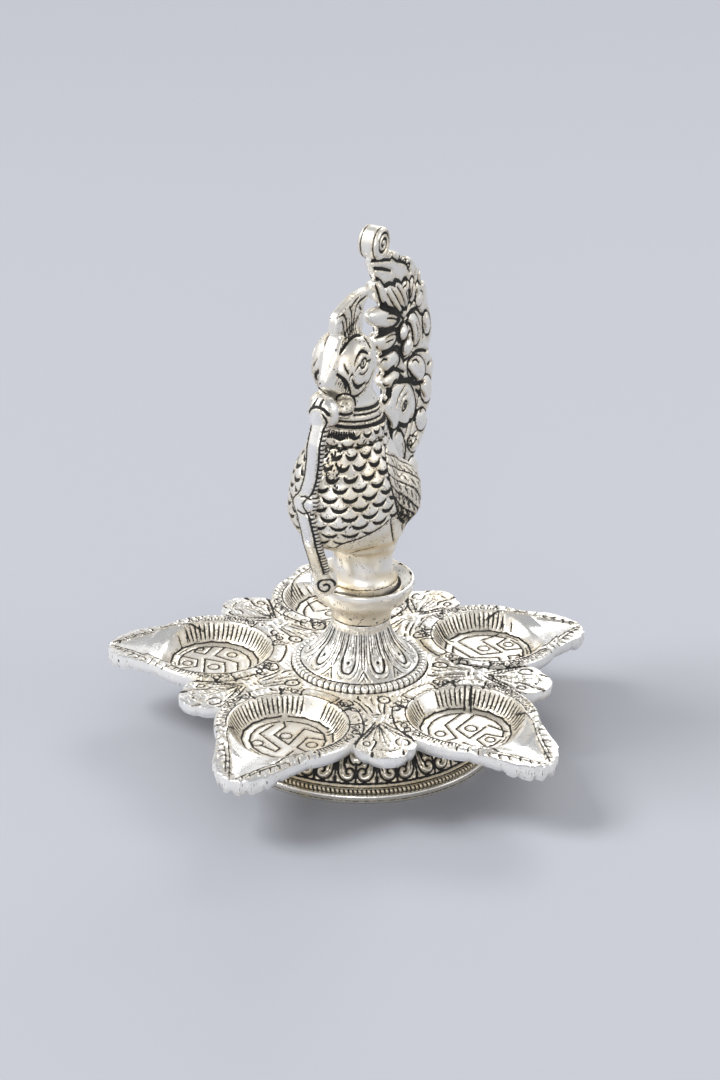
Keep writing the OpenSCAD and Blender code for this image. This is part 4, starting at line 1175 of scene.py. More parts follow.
# Chased lines of one side, in degrees and height: wing edge, long feathers with their bend, breast edge
WING_EDGE = [[8, 86.0], [1, 84.6], [-3.6, 82], [-3.6, 78.5], [-1.5, 75], [3, 71.5], [8, 67], [15, 63.5]]
FEATHERS = (([2, 84.6], [30, 80], [60, 68]), ([-2, 82.6], [26, 77], [54, 64.5]),
            ([-3, 80], [22, 73.6], [47, 62]), ([-2, 77.2], [19, 70.4], [40, 60.6]),
            ([0, 74.4], [17, 67.8], [33, 60]), ([3, 71.4], [16, 65.8], [27, 60]))
BODY_STROKES = (
    (0.34, 0.35, 0.3, WING_EDGE), (0.2, 0.28, 0.4, [[-6, 69], [-6.8, 65], [-6, 59.5]]),
    (0.2, 0.24, 0.3, [[-90, 61.4], [-75, 62.2], [-65, 64], [-55, 64.9], [-40, 66.1], [-20, 67.5],
                      [-10, 68.6]]))
# The lower end of the scales by degrees from the front, and the front of the wing by height
SCALES_LOW = [[0, 61.8], [15, 62.6], [35, 65.3], [50, 66.5], [70, 68], [80, 69], [100, 66], [150, 62],
              [180, 62]]
WING_FRONT = [[60, 102], [66, 98], [72, 93], [75, 88.5], [78.5, 86.4], [82, 86.4], [85, 91], [86.5, 98]]


def scales(chart, deg, z, high, mask):
    """Overlapping scales up to a height: each row hangs over the one below."""
    best, lift = np.full(len(deg), FAR), np.zeros(len(deg))
    for k in range(int((high - SCALES_FROM) / SCALE_ROW) + 2):
        dx = (deg - SCALE_TURN / 2 * (k % 2) + SCALE_TURN / 2) % SCALE_TURN - SCALE_TURN / 2
        q = np.abs(dx) / (SCALE_TURN / 2)
        over = z - (SCALES_FROM + k * SCALE_ROW - 0.2 + 1.5 * q ** 2.2)
        lift = np.where((over >= 0) & (over < SCALE_L), 0.26 * (1 - over / SCALE_L), lift)
        width = 0.36 - 0.62 * smooth((q - 0.62) / 0.38)
        best = np.minimum(best, np.abs(over + 0.12) * 0.9 - width)
    chart.ink = np.where(mask, np.minimum(chart.ink, best), chart.ink)
    chart.up = np.where(mask, np.maximum(chart.up, lift), chart.up)
    chart.cut = np.where(mask, np.maximum(chart.cut, 0.2 * smooth(1 - best / 0.3)), chart.cut)


def wing_reach(heights, lean, ux, uy):
    """How far the wings' oval sections reach along each ray from the torso's axis."""
    middle, half_w, half_l = (curve(heights, WING_RINGS, k)[:, None] for k in (1, 2, 3))
    at_wing = ((heights > WING_RINGS[0, 0]) & (heights < WING_RINGS[-1, 0]))[:, None]
    reach = np.zeros_like(ux)
    for side in SIDES:
        ox, oy = -side * WING_X, middle - lean
        a = (ux / half_w) ** 2 + (uy / half_l) ** 2
        b = 2 * (ux * ox / half_w ** 2 + uy * oy / half_l ** 2)
        c = (ox / half_w) ** 2 + (oy / half_l) ** 2 - 1
        root = b * b - 4 * a * c
        t = np.where(root > 0, (-b + np.sqrt(np.maximum(root, 0))) / (2 * a), 0)
        reach = np.maximum(reach, np.where(at_wing, t, 0))
    return reach


def body_surface(cols):
    """Plain skin of plinth, torso and wings: vertices row by row, their heights and degrees."""
    heights = np.arange(BODY_Z, BODY_TOP + 0.01, 0.3)
    a = np.arange(cols) * 2 * math.pi / cols
    lean, half_w, half_l = (curve(heights, TORSO, k)[:, None] for k in (1, 2, 3))
    dx, dy = np.cos(a) * half_w, np.sin(a) * half_l
    size = np.hypot(dx, dy)
    ux, uy = dx / size, dy / size
    reach = wing_reach(heights, lean, ux, uy)
    size = np.maximum(size, size - blend(np.zeros_like(size), size - reach, 0.8))
    v = np.stack([ux * size, -lean + uy * size, heights[:, None] + 0 * size], -1).reshape(-1, 3)
    return v, np.repeat(heights, cols), round_degrees(np.tile(np.degrees(a), len(heights)))


def chase_body(deg, z):
    """Scales, wings, breast edge and a patch of dark dots below the collar."""
    chart = Relief(np.stack([deg * PER_DEGREE, z], 1))
    off = np.abs(deg + 90)
    wing = (off > curve(z, WING_FRONT)) & (z > 62) & (z < 86)
    scales(chart, deg, z, BODY_TOP, (z > curve(off, SCALES_LOW)) & ~wing & (z < 88.3))
    for side in SIDES:
        def wrapped(points, *rest):
            """Past the back of the bird a line starts again at the chart's other end."""
            p = np.asarray(points, float)
            p = np.stack([(p[:, 0] if side > 0 else -180 - p[:, 0]) * PER_DEGREE, p[:, 1]], 1)
            chart.line(p, *rest)
            chart.line(p + [360 * PER_DEGREE, 0], *rest)

        for w, depth, taper, points in BODY_STROKES:
            wrapped(spline(points), w, depth, taper)
        for f in FEATHERS:
            wrapped(spline(f), 0.13, 0.24, 0.4)
            for t in np.linspace(0.12, 0.9, 9):
                p = np.array(f[0]) * (1 - t) ** 2 + 2 * t * (1 - t) * np.array(f[1]) + t * t * np.array(f[2])
                wrapped([p + [0.6, -0.2], p + [2.4, -2.4]], 0.07, 0.14, 0.5)
        for k in range(9):
            wrapped([[12 + 6 * k, 63.6 - 0.1 * k], [14.5 + 6 * k, 60.8 - 0.15 * k]], 0.16, 0.2, 0.5)
        wrapped([[-70, 58.2], [-52, 60.2], [-34, 60.8]], 0.1, 0.12, 0.7)
    chart.line([[-270 * PER_DEGREE, 45.5], [90 * PER_DEGREE, 45.5]], 0.08, 0.12)
    # dark dots, thickest just under the collar, on the front beside the snake
    rng = np.random.default_rng(9)
    for _ in range(60):
        place = [rng.uniform(-96, -66) * PER_DEGREE, BODY_TOP - 7 * rng.uniform(0, 1) ** 2]
        chart.dots([place], rng.uniform(0.14, 0.36), 0.06)
    return chart


def build_body():
    part = Part()
    cols = 336
    v, z, deg = body_surface(cols)
    faces = grid_faces(len(v) // cols, cols)
    chart = chase_body(deg, z)
    tone = 0.75 * smooth((63.5 - z) / 3) * smooth((z - 50) / 6) + 0.6 * smooth((51 - z) / 3)
    tone = np.maximum(tone * (0.6 + 0.4 * np.sin(z * 1.1 + np.radians(deg) * 3)), 0.08)
    # the plinth is rougher cast than the body
    dents = np.sin(v[:, 0] * 0.62 + v[:, 2] * 0.3) * np.sin(v[:, 2] * 0.55 + v[:, 1] * 0.5 + 1)
    lump = lumps(v, (0.9, 0.8, 0.7), 0.07) + 0.2 * dents * smooth((62 - z) / 4) * smooth((z - 47) / 2)
    v = v + vertex_normals(v, faces) * (chart.height() - 0.26 + lump)[:, None]
    v[:, 2] = np.clip(v[:, 2], BODY_Z, BODY_TOP)
    part.add(v, faces, chart.ink, tone)
    # flat ends
    k, last = np.arange(cols), np.full(cols, cols)
    part.add(np.vstack([v[:cols], [0, 0, BODY_Z]]), np.stack([(k + 1) % cols, k, last], 1))
    part.add(np.vstack([v[-cols:], [0, -9.7, BODY_TOP]]), np.stack([k, (k + 1) % cols, last], 1))
    part.make("peacock_body_casting", "peacock_body", BIRD_SILVER, weld=True)


# Head: outlines of crest and beak in the bird's middle plane, as shares of their sizes from the head's middle
CREST = [[-0.53, 0.55], [-0.51, 0.76], [-0.43, 0.84], [-0.28, 0.90], [0.17, 0.985], [0.57, 1], [0.83, 0.97],
         [1, 0.86], [0.8, 0.82], [0.63, 0.76], [0.57, 0.55], [0.56, 0.34]]
BEAK = [[0.42, 1.05], [0.66, 0.66], [0.86, 0.2], [1, -0.12], [0.97, -0.36], [0.8, -0.5], [0.5, -0.7],
        [0.1, -0.8]]
CREST_L, CREST_H, BEAK_REACH, HEAD_R = 13.35, 16.6, 11.4, 8.6
# Lines on the slanted side chart: brow, cheek, beak and mouth
FACE_STROKES = (
    (0.44, 0.4, 0.6, [[-6.6, 3.2], [-5.7, 4.6], [-3.8, 5.35], [-2.1, 5.1], [0.6, 3.4]]),
    (0.15, 0.2, 0.6, [[-4.0, -0.3], [-2.6, -1.1], [-1.0, -1.25], [0.9, -0.7]]),
    (0.46, 0.4, 0.5, [[-7.6, -0.8], [-6.5, -2.3], [-4.9, -3.6], [-2.4, -4.1], [-0.8, -3.9]]),
    (0.2, 0.25, 0.5, [[-0.4, -4.6], [1.8, -3.85], [3.6, -2.1]]),
    (0.22, 0.28, 0.5, [[-2.1, 9.1], [-0.4, 7.3], [1.8, 4.5]]),
    (0.2, 0.25, 0.5, [[-11.8, -3.3], [-8, -4.9], [-4, -5.8], [0, -5.3]]),
    (0.5, 0.4, 0.4, [[-13.6, 1.6], [-12.2, 0.2], [-11.2, -1.8]]),
    (0.26, 0.3, 0.5, [[-12.8, 5.4], [-11.4, 3.4], [-9.8, 1.8]]),
    (0.2, 0.25, 0.5, [[-9.6, -0.2], [-8.6, 0.9], [-7.2, 0.6]]))
EYE_CORNERS = ((0.2, 0.25, 0.5, [[-6.2, 1.1], [-4.6, 1.75], [-3.4, 1.6]]),
               (0.17, 0.22, 0.5, [[-0.3, 1.4], [0.8, 1.45], [1.9, 1.2]]))
CREST_STROKES = (
    [[-15.2, 18.7], [-12.9, 18.3], [-11.6, 16.75], [-10.7, 13.7], [-10.5, 12.6]],
    [[-10, 19.5], [-8.8, 17.6], [-8.4, 13.1]],
    [[-1.3, 19.5], [-3.5, 19.4], [-5.7, 19], [-6.8, 17.6], [-7.5, 15.3], [-7.7, 12.6]],
    [[-4.9, 17.9], [-4.2, 17.4], [-3.6, 16.8]], [[-13.6, 17.0], [-12.6, 15.2], [-12.2, 12.6]],
    [[-9.4, 18.9], [-7.4, 19.9], [-5.0, 20.6]], [[-9.6, 15.6], [-9.5, 12.8]])
CROWN = [[-14.6, 9.2], [-12.7, 10.1], [-10.4, 11.4], [-8.8, 11.7], [-6.6, 11.5], [-4.3, 10.7]]
MOUTH = [[-16, 4], [-13.2, 1.7], [-10.4, -0.75], [-8.5, -3.8]]
BACK_STROKES = (
    [[5.2, 8.6], [6.2, 11.0], [8.2, 13.0]], [[3.2, 9.5], [4.6, 12.4], [7.4, 15.0]],
    [[1.0, 10.0], [1.8, 13.2], [4.4, 15.6]], [[-2.2, 9.9], [-2.2, 13.0], [-0.6, 14.9]],
    [[5.2, 5.8], [7.4, 2.2], [7.6, -2.2]], [[3.8, 3.8], [5.4, 0.6], [5.0, -3.0]])


def wattles(x, y, z):
    """Distance to the two round wattles beside the beak."""
    radii = (2.5, 2.9, 3.0)
    near = np.minimum(*(egg((x, y, z), (side * 3.5, -19.0, 98.2), radii) for side in SIDES))
    return (near - 1) * radii[0]


def head_solid(x, y, z):
    """Neck, ball, beak, crest and wattles as one field."""
    lean, half_w, half_l = (curve(z[0, 0], NECK_RINGS, k)[None, None, :] for k in (1, 2, 3))
    k = np.sqrt((x / half_w) ** 2 + ((y + lean) / half_l) ** 2)
    neck = np.maximum((k - 1) * np.minimum(half_w, half_l), z - HEAD_Z)
    r = np.hypot(y - HEAD_Y, z - HEAD_Z)
    ball = (((r / 8.55) ** 2.5 + (np.abs(x) / 7.5) ** 2.5) ** 0.4 - 1) * 7.6
    crest = spline([[HEAD_Y + a * CREST_L, HEAD_Z + b * CREST_H] for a, b in CREST])
    crest = rounded_plate(outline_distance(y[0], z[0], crest)[None], x, 1.6, 1.1)
    beak = spline([[HEAD_Y - a * BEAK_REACH, HEAD_Z + b * HEAD_R] for a, b in BEAK])
    beak_half = 2.3 - 0.7 * smooth((HEAD_Y - 7.5 - y) / 4)
    beak = rounded_plate(outline_distance(y[0], z[0], beak)[None], x, beak_half, 1.3)
    solid = blend(blend(ball, neck, 2.6), beak, 1.2)
    solid = blend(blend(solid, wattles(x, y, z), 0.25), crest, 0.9)
    return np.maximum(solid, BODY_TOP + 0.02 - z)


def between(a, b, t):
    """The point at a share t of the way from a to b."""
    return np.array(a) * (1 - t) + np.array(b) * t


def chase_head(v):
    """Eye, brow, cheek, mouth and crest lines, on the slanted side chart."""
    chart = Relief(side_chart(v, 6.5, (HEAD_Y, HEAD_Z)))
    chart.draw(FACE_STROKES)
    chart.draw(EYE_CORNERS, step=None)
    chart.draw([(0.26, points) for points in CREST_STROKES], depth=0.3)
    chart.loop(-1.7, 1.6, 1.55, 1.2, 0.2, 0.25)
    chart.dots([[-1.75, 1.6]], 0.42, 0.3)
    crown, mouth = spline(CROWN), spline(MOUTH)
    chart.line(crown, 0.55, 0.45, taper=0.3)
    for p in crown[::3]:
        chart.line([p + [0.1, 0.5], p + [0.3, 1.7]], 0.13, 0.2, taper=0.4)
    for t in np.arange(7) / 6:
        root = between([-13.4, 10.6], [-6.6, 12.4], t)
        chart.line(spline([root, root + [0.2, 1.8], root + [1.2 + t, 3.8]]), 0.13, 0.25, taper=0.5)
    chart.line(mouth, 0.44, 0.4, taper=0.3)
    for p in mouth[2::2]:
        chart.line([p + [-0.6, -0.5], p + [-1.3, -1.5]], 0.12, 0.2)
    return chart


def chase_neck(v):
    """Scales and the collar's turned lines, round the neck."""
    lean = curve(v[:, 2], NECK_RINGS, 1)
    deg = round_degrees(np.degrees(np.arctan2(v[:, 1] + lean, v[:, 0])))
    chart = Relief(np.stack([deg * PER_DEGREE, v[:, 2]], 1))
    scales(chart, deg, v[:, 2], 94, v[:, 2] < 92.4)
    off = np.linspace(-270, 90, 61)
    fall = 0.012 * (60 - np.abs(off + 90))
    for level, w in ((92.7, 0.36), (94.0, 0.17), (95.7, 0.17), (97.0, 0.34)):
        chart.line(np.stack([off * PER_DEGREE, level + fall], 1), w, 0.3)
    for level, w, height in ((94.85, 0.95, 0.2), (93.4, 0.7, 0.22), (96.3, 0.7, 0.22)):
        chart.ridge(np.stack([off * PER_DEGREE, level + fall], 1), w, height)
    for a in np.arange(-98, -52, 3.6):
        chart.line([[a * PER_DEGREE, 91.9], [(a + 1.6) * PER_DEGREE, 90.6]], 0.34, 0.25, taper=0.4)
    return chart


def build_head():
    step, lo, hi = 0.27, (-9.6, -26.0, 87.0), (9.6, 3.6, 125.2)
    v, quads = skin(head_solid(*lattice(lo, hi, step)), np.array(lo), step)
    n = vertex_normals(v, quads)
    chart, neck_chart = chase_head(v), chase_neck(v)
    # plainer lines where the slanted chart does not reach: the back of the head and of the crest
    flat = Relief(v[:, 1:] - [HEAD_Y, HEAD_Z])
    flat.draw([(0.18, points) for points in BACK_STROKES], depth=0.25)
    slant = facing(n, v)
    ink = np.where(slant > 0.1, chart.ink, flat.ink)
    high = np.where(slant > 0.1, chart.height() * smooth((slant - 0.08) / 0.2), flat.height() * 0.8)
    # the wattles are plain but for the dark crease round them
    lobe = wattles(*v.T)
    ink = np.where(lobe < 0.7, np.abs(lobe - 0.45) - 0.16, ink)
    high = np.where(lobe < 0.7, -0.2 * (lobe > 0.2), high)
    neck = v[:, 2] < 98.2
    ink = np.where(neck, neck_chart.ink, ink)
    high = np.where(neck, neck_chart.height(), high)
    lump = lumps(v, (1.3, 1.2, 1.1), 0.06)
    v = v + n * (np.clip(high, -0.4, 0.3) - 0.3 + lump)[:, None]
    v[:, 2] = np.maximum(v[:, 2], BODY_TOP)
    part = Part()
    part.add(v, quads, ink, 0.1)
    part.make("peacock_head_casting", "peacock_head", BIRD_SILVER)


# Tail: its outline and its leaves are shares of its sizes, as in the CAD source
TAIL = [[0.22, 0.01], [0.36, 0], [0.52, 0.005], [0.70, 0.03], [0.84, 0.09], [0.80, 0.15], [0.70, 0.20],
        [0.75, 0.224], [0.88, 0.25], [1.00, 0.30], [0.97, 0.33], [1.04, 0.355], [1.08, 0.38], [1.06, 0.42],
        [1.09, 0.46], [1.07, 0.495], [0.96, 0.525], [1.01, 0.585], [0.97, 0.64], [0.89, 0.685], [0.85, 0.725],
        [0.82, 0.75], [0.72, 0.76], [0.70, 0.79], [0.575, 0.825], [0.48, 0.85], [0.32, 0.865], [0.185, 0.89],
        [0, 0.91], [-0.27, 0.93], [-0.40, 0.91], [-0.34, 0.878], [-0.25, 0.841], [-0.11, 0.803],
        [-0.11, 0.775], [-0.13, 0.755], [-0.18, 0.715], [-0.15, 0.66], [-0.06, 0.60], [0, 0.54],
        [0.04, 0.48], [0.02, 0.43]]
FINIAL, FINIAL_R = (0.65, 133.69), 4.15
# Leaves and buds: two ends, half width and thickness
TAIL_LEAVES = [
    [-0.40, 0.748, 0.24, 0.686, 0.105, 0.82], [-0.26, 0.658, 0.20, 0.638, 0.11, 0.86],
    [-0.14, 0.597, 0.27, 0.556, 0.11, 0.86], [-0.10, 0.518, 0.30, 0.516, 0.09, 0.82],
    [-0.31, 0.842, -0.08, 0.762, 0.07, 0.80], [-0.13, 0.812, 0.30, 0.701, 0.12, 0.84],
    [0.08, 0.812, 0.42, 0.701, 0.08, 0.78], [0.27, 0.80, 0.39, 0.755, 0.08, 0.76],
    [0.46, 0.80, 0.50, 0.705, 0.075, 0.74], [0.60, 0.775, 0.62, 0.715, 0.07, 0.70],
    [0.60, 0.735, 0.72, 0.685, 0.09, 0.74], [0.19, 0.653, 0.39, 0.632, 0.1, 0.94],
    [0.29, 0.604, 0.52, 0.578, 0.11, 0.98], [0.44, 0.688, 0.68, 0.565, 0.125, 0.86],
    [0.78, 0.67, 0.92, 0.57, 0.09, 0.7], [0.44, 0.535, 0.88, 0.455, 0.14, 0.90],
    [0.80, 0.46, 1.02, 0.36, 0.13, 0.82], [0.10, 0.497, 0.66, 0.345, 0.20, 0.96],
    [0.02, 0.47, 0.28, 0.345, 0.13, 0.82], [0.70, 0.36, 0.94, 0.285, 0.12, 0.80],
    [0.52, 0.29, 0.76, 0.235, 0.085, 0.84], [0.16, 0.36, 0.46, 0.225, 0.12, 0.80],
    [0.24, 0.27, 0.52, 0.135, 0.12, 0.80], [0.36, 0.19, 0.56, 0.07, 0.11, 0.80],
    [0.56, 0.225, 0.80, 0.13, 0.12, 0.80], [0.56, 0.135, 0.74, 0.055, 0.10, 0.76],
    [0.28, 0.12, 0.40, 0.03, 0.09, 0.74]]
# Dark lines of the plume on the slanted side chart: half width, then places along and up the bird
TAIL_LINES = (
    (0.42, [[-3.9, 129.3], [4.0, 127.6], [11.1, 125.7]]), (0.42, [[-1.7, 126.8], [5.0, 125.2], [11, 122.9]]),
    (0.3, [[5.6, 134.8], [7.4, 132], [9, 128.8]]), (0.25, [[-3.5, 131.5], [-1.5, 129.8], [0.5, 128.6]]),
    (0.34, [[11, 126.5], [14, 124.6], [19, 122.5], [21.5, 119.5]]),
    (0.3, [[2.2, 121.6], [3.4, 119.6], [5.2, 116.6]]),
    # fan under the neck of the finial
    (0.22, [[9, 117.8], [13, 113.2], [17.5, 109.6]]), (0.28, [[11.5, 118.4], [15, 114.5], [19, 110]]),
    (0.22, [[14.6, 117.8], [17.5, 114.5], [20, 110.5]]),
    (0.34, [[17.4, 118.6], [19.6, 118.4], [19.8, 116.6], [18, 116.4]]),
    (0.28, [[21.3, 116.5], [21.8, 112.5], [20.4, 109.5]]), (0.25, [[24.3, 119], [23.2, 114], [21.4, 111]]),
    (0.34, [[26.6, 118.6], [26.2, 116], [28.4, 114.2]]), (0.3, [[22.4, 110.4], [24.6, 111.2], [25.4, 113.6]]),
    # channels between the front leaves
    (0.5, [[2.6, 122], [4, 119], [6, 115.6], [11, 112.9], [16, 110.4], [19.5, 107.6]]),
    (0.45, [[0.8, 110.6], [3, 108.9], [8, 107.6], [14, 106.9], [16.4, 106]]),
    (0.45, [[4, 105.2], [6, 102.7], [10, 102.1], [16, 101.6], [18, 99], [20.4, 96]]),
    (0.4, [[5.7, 98.4], [9, 96.6], [14, 96.6], [17, 95.2], [20.5, 93.4]]),
    (0.55, [[7, 92], [9, 89.4], [11.4, 89], [14.5, 92.2], [19, 91.6], [24, 90], [27, 88], [32, 87]]),
    (0.6, [[9.5, 86], [12.2, 82.6], [13.6, 80.2], [11.6, 76]]),
    # veins of the front leaves
    (0.2, [[10.4, 112], [13, 111.3], [16.2, 109.6]]), (0.22, [[9.6, 110.8], [12.5, 110], [15.6, 108.9]]),
    (0.2, [[9.4, 105.7], [12, 105.9], [14.6, 105.3]]), (0.22, [[9.6, 104.5], [12, 104.2], [14.2, 104]]),
    (0.24, [[8.4, 94.2], [10, 92.9], [11.8, 92.6]]), (0.5, [[15.7, 97.3]]),
    (0.3, [[6.4, 100.2], [8.4, 100.8], [10.8, 99.8]]),
    # the two buds and the lobes behind them
    (0.36, [[19.5, 107.8], [17, 106.6], [16.3, 104.4], [17.5, 102.4], [20.4, 102.3], [22.4, 103.6]]),
    (0.36, [[21, 102.5], [18.6, 101.2], [18.7, 98.4], [20.6, 96.6], [23, 96.9], [24.2, 98.9]]),
    (0.42, [[20, 108.2], [23, 109], [26.5, 108.3], [28.8, 106.2]]),
    (0.5, [[20.4, 107], [23.4, 104.4], [24.5, 101], [24.6, 97.6]]),
    (0.3, [[29.2, 106.5], [29.8, 103.4], [30.4, 99.4]]),
    (0.45, [[22, 95.4], [26, 96.9], [30, 96.2], [33, 95]]),
    (0.28, [[24.8, 94.9], [27, 94.8], [29.2, 92.8]]), (0.45, [[33.6, 91.2], [35.2, 91.2]]),
    (0.4, [[22.5, 93.6], [25, 90.6], [28, 88.4]]), (0.16, [[30.6, 103.2], [31.4, 101.6]]),
    (0.16, [[30.8, 106.4], [31.4, 104.8]]), (0.2, [[26.2, 104.6], [27.4, 101.8], [27, 99.4]]),
    # the eye leaf, its bars and the curl under it
    (0.26, [[16.2, 85.4], [18, 87.8], [21.4, 89.6]]), (0.2, [[18.6, 84.4], [20, 86.4], [22.6, 87]]),
    (0.5, [[27.4, 86.4], [29.4, 84.6], [28.6, 81.6], [26.4, 77], [24.8, 74.2]]),
    (0.42, [[21.8, 74.6], [23.4, 77.4], [25.2, 80]]),
    (0.3, [[16.4, 77.6], [18, 79], [20, 79.2]]), (0.4, [[18.2, 78.6], [19.4, 78.2]]),
    (0.26, [[30.4, 79.4], [31.6, 80]]), (0.4, [[25.2, 70.8], [27.6, 71.4], [29.8, 73.4]]),
    (0.3, [[26.4, 74], [28.6, 74.4]]), (0.2, [[30.5, 85.2], [32.6, 82.4]]),
    # fan at the foot of the plume
    (0.45, [[11.6, 75.6], [13.5, 68.4], [16.2, 62.4], [19.4, 57.4]]), (0.35, [[26.6, 64.2], [28.4, 61.6]]),
    (0.35, [[28, 58], [30, 55.2]]), (0.3, [[25.8, 56.6], [28, 52.6]]), (0.3, [[23.6, 57], [25, 52.4]]),
    (0.26, [[21, 56.6], [21.8, 52.8]]))
# Ovals of the plume: place, two radii and turn
TAIL_RINGS = ((21.3, 83.8, 1.5, 1.15, 20), (21.4, 83.8, 0.45, 0.4, 0), (25.4, 72.3, 0.95, 0.8, 0),
              (15.9, 125.0, 0.8, 0.7, 0), (18.4, 123.4, 0.8, 0.7, 0), (20.6, 121.4, 0.7, 0.7, 0))


def tail_place(a, b):
    return [TAIL_Y + a * TAIL_L, TAIL_Z + b * TAIL_H]


def tail_leaf(x, y, z, a, b, half_w, half_t):
    """An egg in the bird's middle plane, from a to b."""
    a, b = np.array(a), np.array(b)
    d, middle = b - a, (a + b) / 2
    c, s = math.cos(math.atan2(d[1], d[0])), math.sin(math.atan2(d[1], d[0]))
    u, v = y - middle[0], z - middle[1]
    k = egg((u * c + v * s, v * c - u * s, x), (0, 0, 0), (np.linalg.norm(d) / 2, half_w, half_t))
    return (k - 1) * np.minimum(half_w, half_t) * 1.1


def tail_leaves(x, y, z):
    """Distances to the leaves, buds and lobes of the plume, one by one."""
    return [tail_leaf(x, y, z, tail_place(a, b), tail_place(c, d), w * TAIL_L * 1.1, t * 3.22)
            for a, b, c, d, w, t in TAIL_LEAVES]


def tail_solid(x, y, z):
    """The plume's plate with its leaves, and the finial's drum."""
    # the front edge follows the back of the body
    rump = [[r[3] - r[1], r[0]] for r in TORSO[::-1] if BELLY_Z < r[0] < BELLY_Z + 0.94 * BELLY_H]
    ring = np.vstack([spline([tail_place(a, b) for a, b in TAIL], 0.8), rump])
    solid = rounded_plate(outline_distance(y[0], z[0], ring)[None], x, 1.6, 1.2)
    for leaf in tail_leaves(x, y, z):
        solid = blend(solid, leaf, 0.3)
    drum = np.hypot(y - FINIAL[0], z - FINIAL[1]) - FINIAL_R
    return blend(solid, rounded_plate(drum, x, 2.9, 1.3), 0.5)


def chase_tail(v):
    """The plume's drawing, on the slanted side chart."""
    chart = Relief(side_chart(v, 0.0, (0, 0)))
    for w, points in TAIL_LINES:
        chart.line(spline(points), w, 0.2 + w * 0.6, taper=0.35)
    for y, z, rx, ry, turn in TAIL_RINGS:
        chart.loop(y, z, rx, ry, 0.24, 0.3, turn=turn)
    for t in np.linspace(0, 1, 16):
        p = between([-3.6, 129.6], [11.0, 126.0], t)
        chart.line([p + [0.1, 0.3], p + [0.6, 1.7]], 0.12, 0.2, taper=0.4)
    for t in np.linspace(0, 1, 9):
        p = between([12.2, 75.6], [18.6, 59.6], t)
        chart.line(spline([p + [0.4, 0.2], p + [3.2, -3.0], p + [5.2, -7.4]]), 0.13, 0.2, taper=0.5)
        q = between([20.6, 74.0], [23.4, 58.0], t)
        chart.line([q, q + [2.6, -3.8]], 0.11, 0.18, taper=0.5)
    return chart


def ink_finial(v, ink, on_drum, flat_side):
    """Ribs at the back of the finial's rim, and fine turned lines on the rest of it."""
    turn = np.degrees(np.arctan2(v[:, 2] - FINIAL[1], v[:, 1] - FINIAL[0]))
    ribs = 0.34 + 0.4 * np.cos(np.radians(turn * 24))
    back = on_drum & (turn > -60) & (turn < 75) & (flat_side < 0.95) & (np.abs(v[:, 0]) > 0.9)
    ink = np.where(back, np.minimum(ink, ribs), ink)
    turned_lines = np.abs(np.abs(v[:, 0]) - 1.7) - 0.14
    return np.where(on_drum & (flat_side < 0.8) & ~back, np.minimum(ink, turned_lines), ink)


def build_tail():
    step, lo, hi = 0.3, (-4.3, -6.0, 48.6), (4.3, 37.0, 139.0)
    v, quads = skin(tail_solid(*lattice(lo, hi, step)), np.array(lo), step)
    n = vertex_normals(v, quads)
    flat_side, slant = np.abs(n[:, 0]), facing(n, v)
    near = np.sort(np.stack(tail_leaves(*v.T), 0), axis=0)
    # the ground between the leaves is black, and no more than a line at the plume's back
    in_ground = (np.abs(v[:, 0]) < 1.72) & (near[0] > 0.07)
    ground = 0.6 - 0.3 * smooth((v[:, 1] - 15 - 4 * smooth((86 - v[:, 2]) / 8)) / 3)
    crease = (near[1] - near[0]) * 0.55 - 0.36
    ink = np.where(flat_side > 0.2, np.where(in_ground, near[0] - ground, crease), FAR)
    # where the drawing reaches, it takes the place of the plain creases
    outward = flat_side > 0.3
    ink = np.where(outward & (slant > 0.07) & ~in_ground, FAR, ink)
    chart, seen = chase_tail(v), outward & (slant > 0.05)
    ink = np.minimum(ink, np.where(seen, chart.ink, FAR))
    # the finial has a spiral of its own on both sides
    coil = Relief(v[:, 1:])
    coil.line(spiral(3.0, 0.5, 640, 60) + FINIAL, 0.32, 0.34)
    on_drum = np.hypot(v[:, 1] - FINIAL[0], v[:, 2] - FINIAL[1]) < 4.3
    coil_ink = np.where(outward, coil.ink, FAR)
    ink = np.where(on_drum, coil_ink, np.minimum(ink, coil_ink))
    deep = np.where(on_drum, coil.cut, np.where(seen, chart.cut, 0)) * outward
    ink = ink_finial(v, ink, on_drum, flat_side)
    # ticks across the plume's narrow edges
    rim = (flat_side < 0.3) & ~on_drum & (v[:, 1] > 12) & (v[:, 2] > 84)
    wave = np.sin(v[:, 2] * 2 * math.pi / 1.7 + np.sin(v[:, 1]) * 0.8)
    ink = np.where(rim, np.minimum(ink, 0.4 + 0.45 * wave), ink)
    v = v - n * (deep * 0.9 + 0.12 + np.clip(0.22 - ink, 0, 0.3) * 0.5)[:, None]
    part = Part()
    part.add(v, quads, ink, 0.05)
    part.make("tail_casting", "tail", TAIL_SILVER)


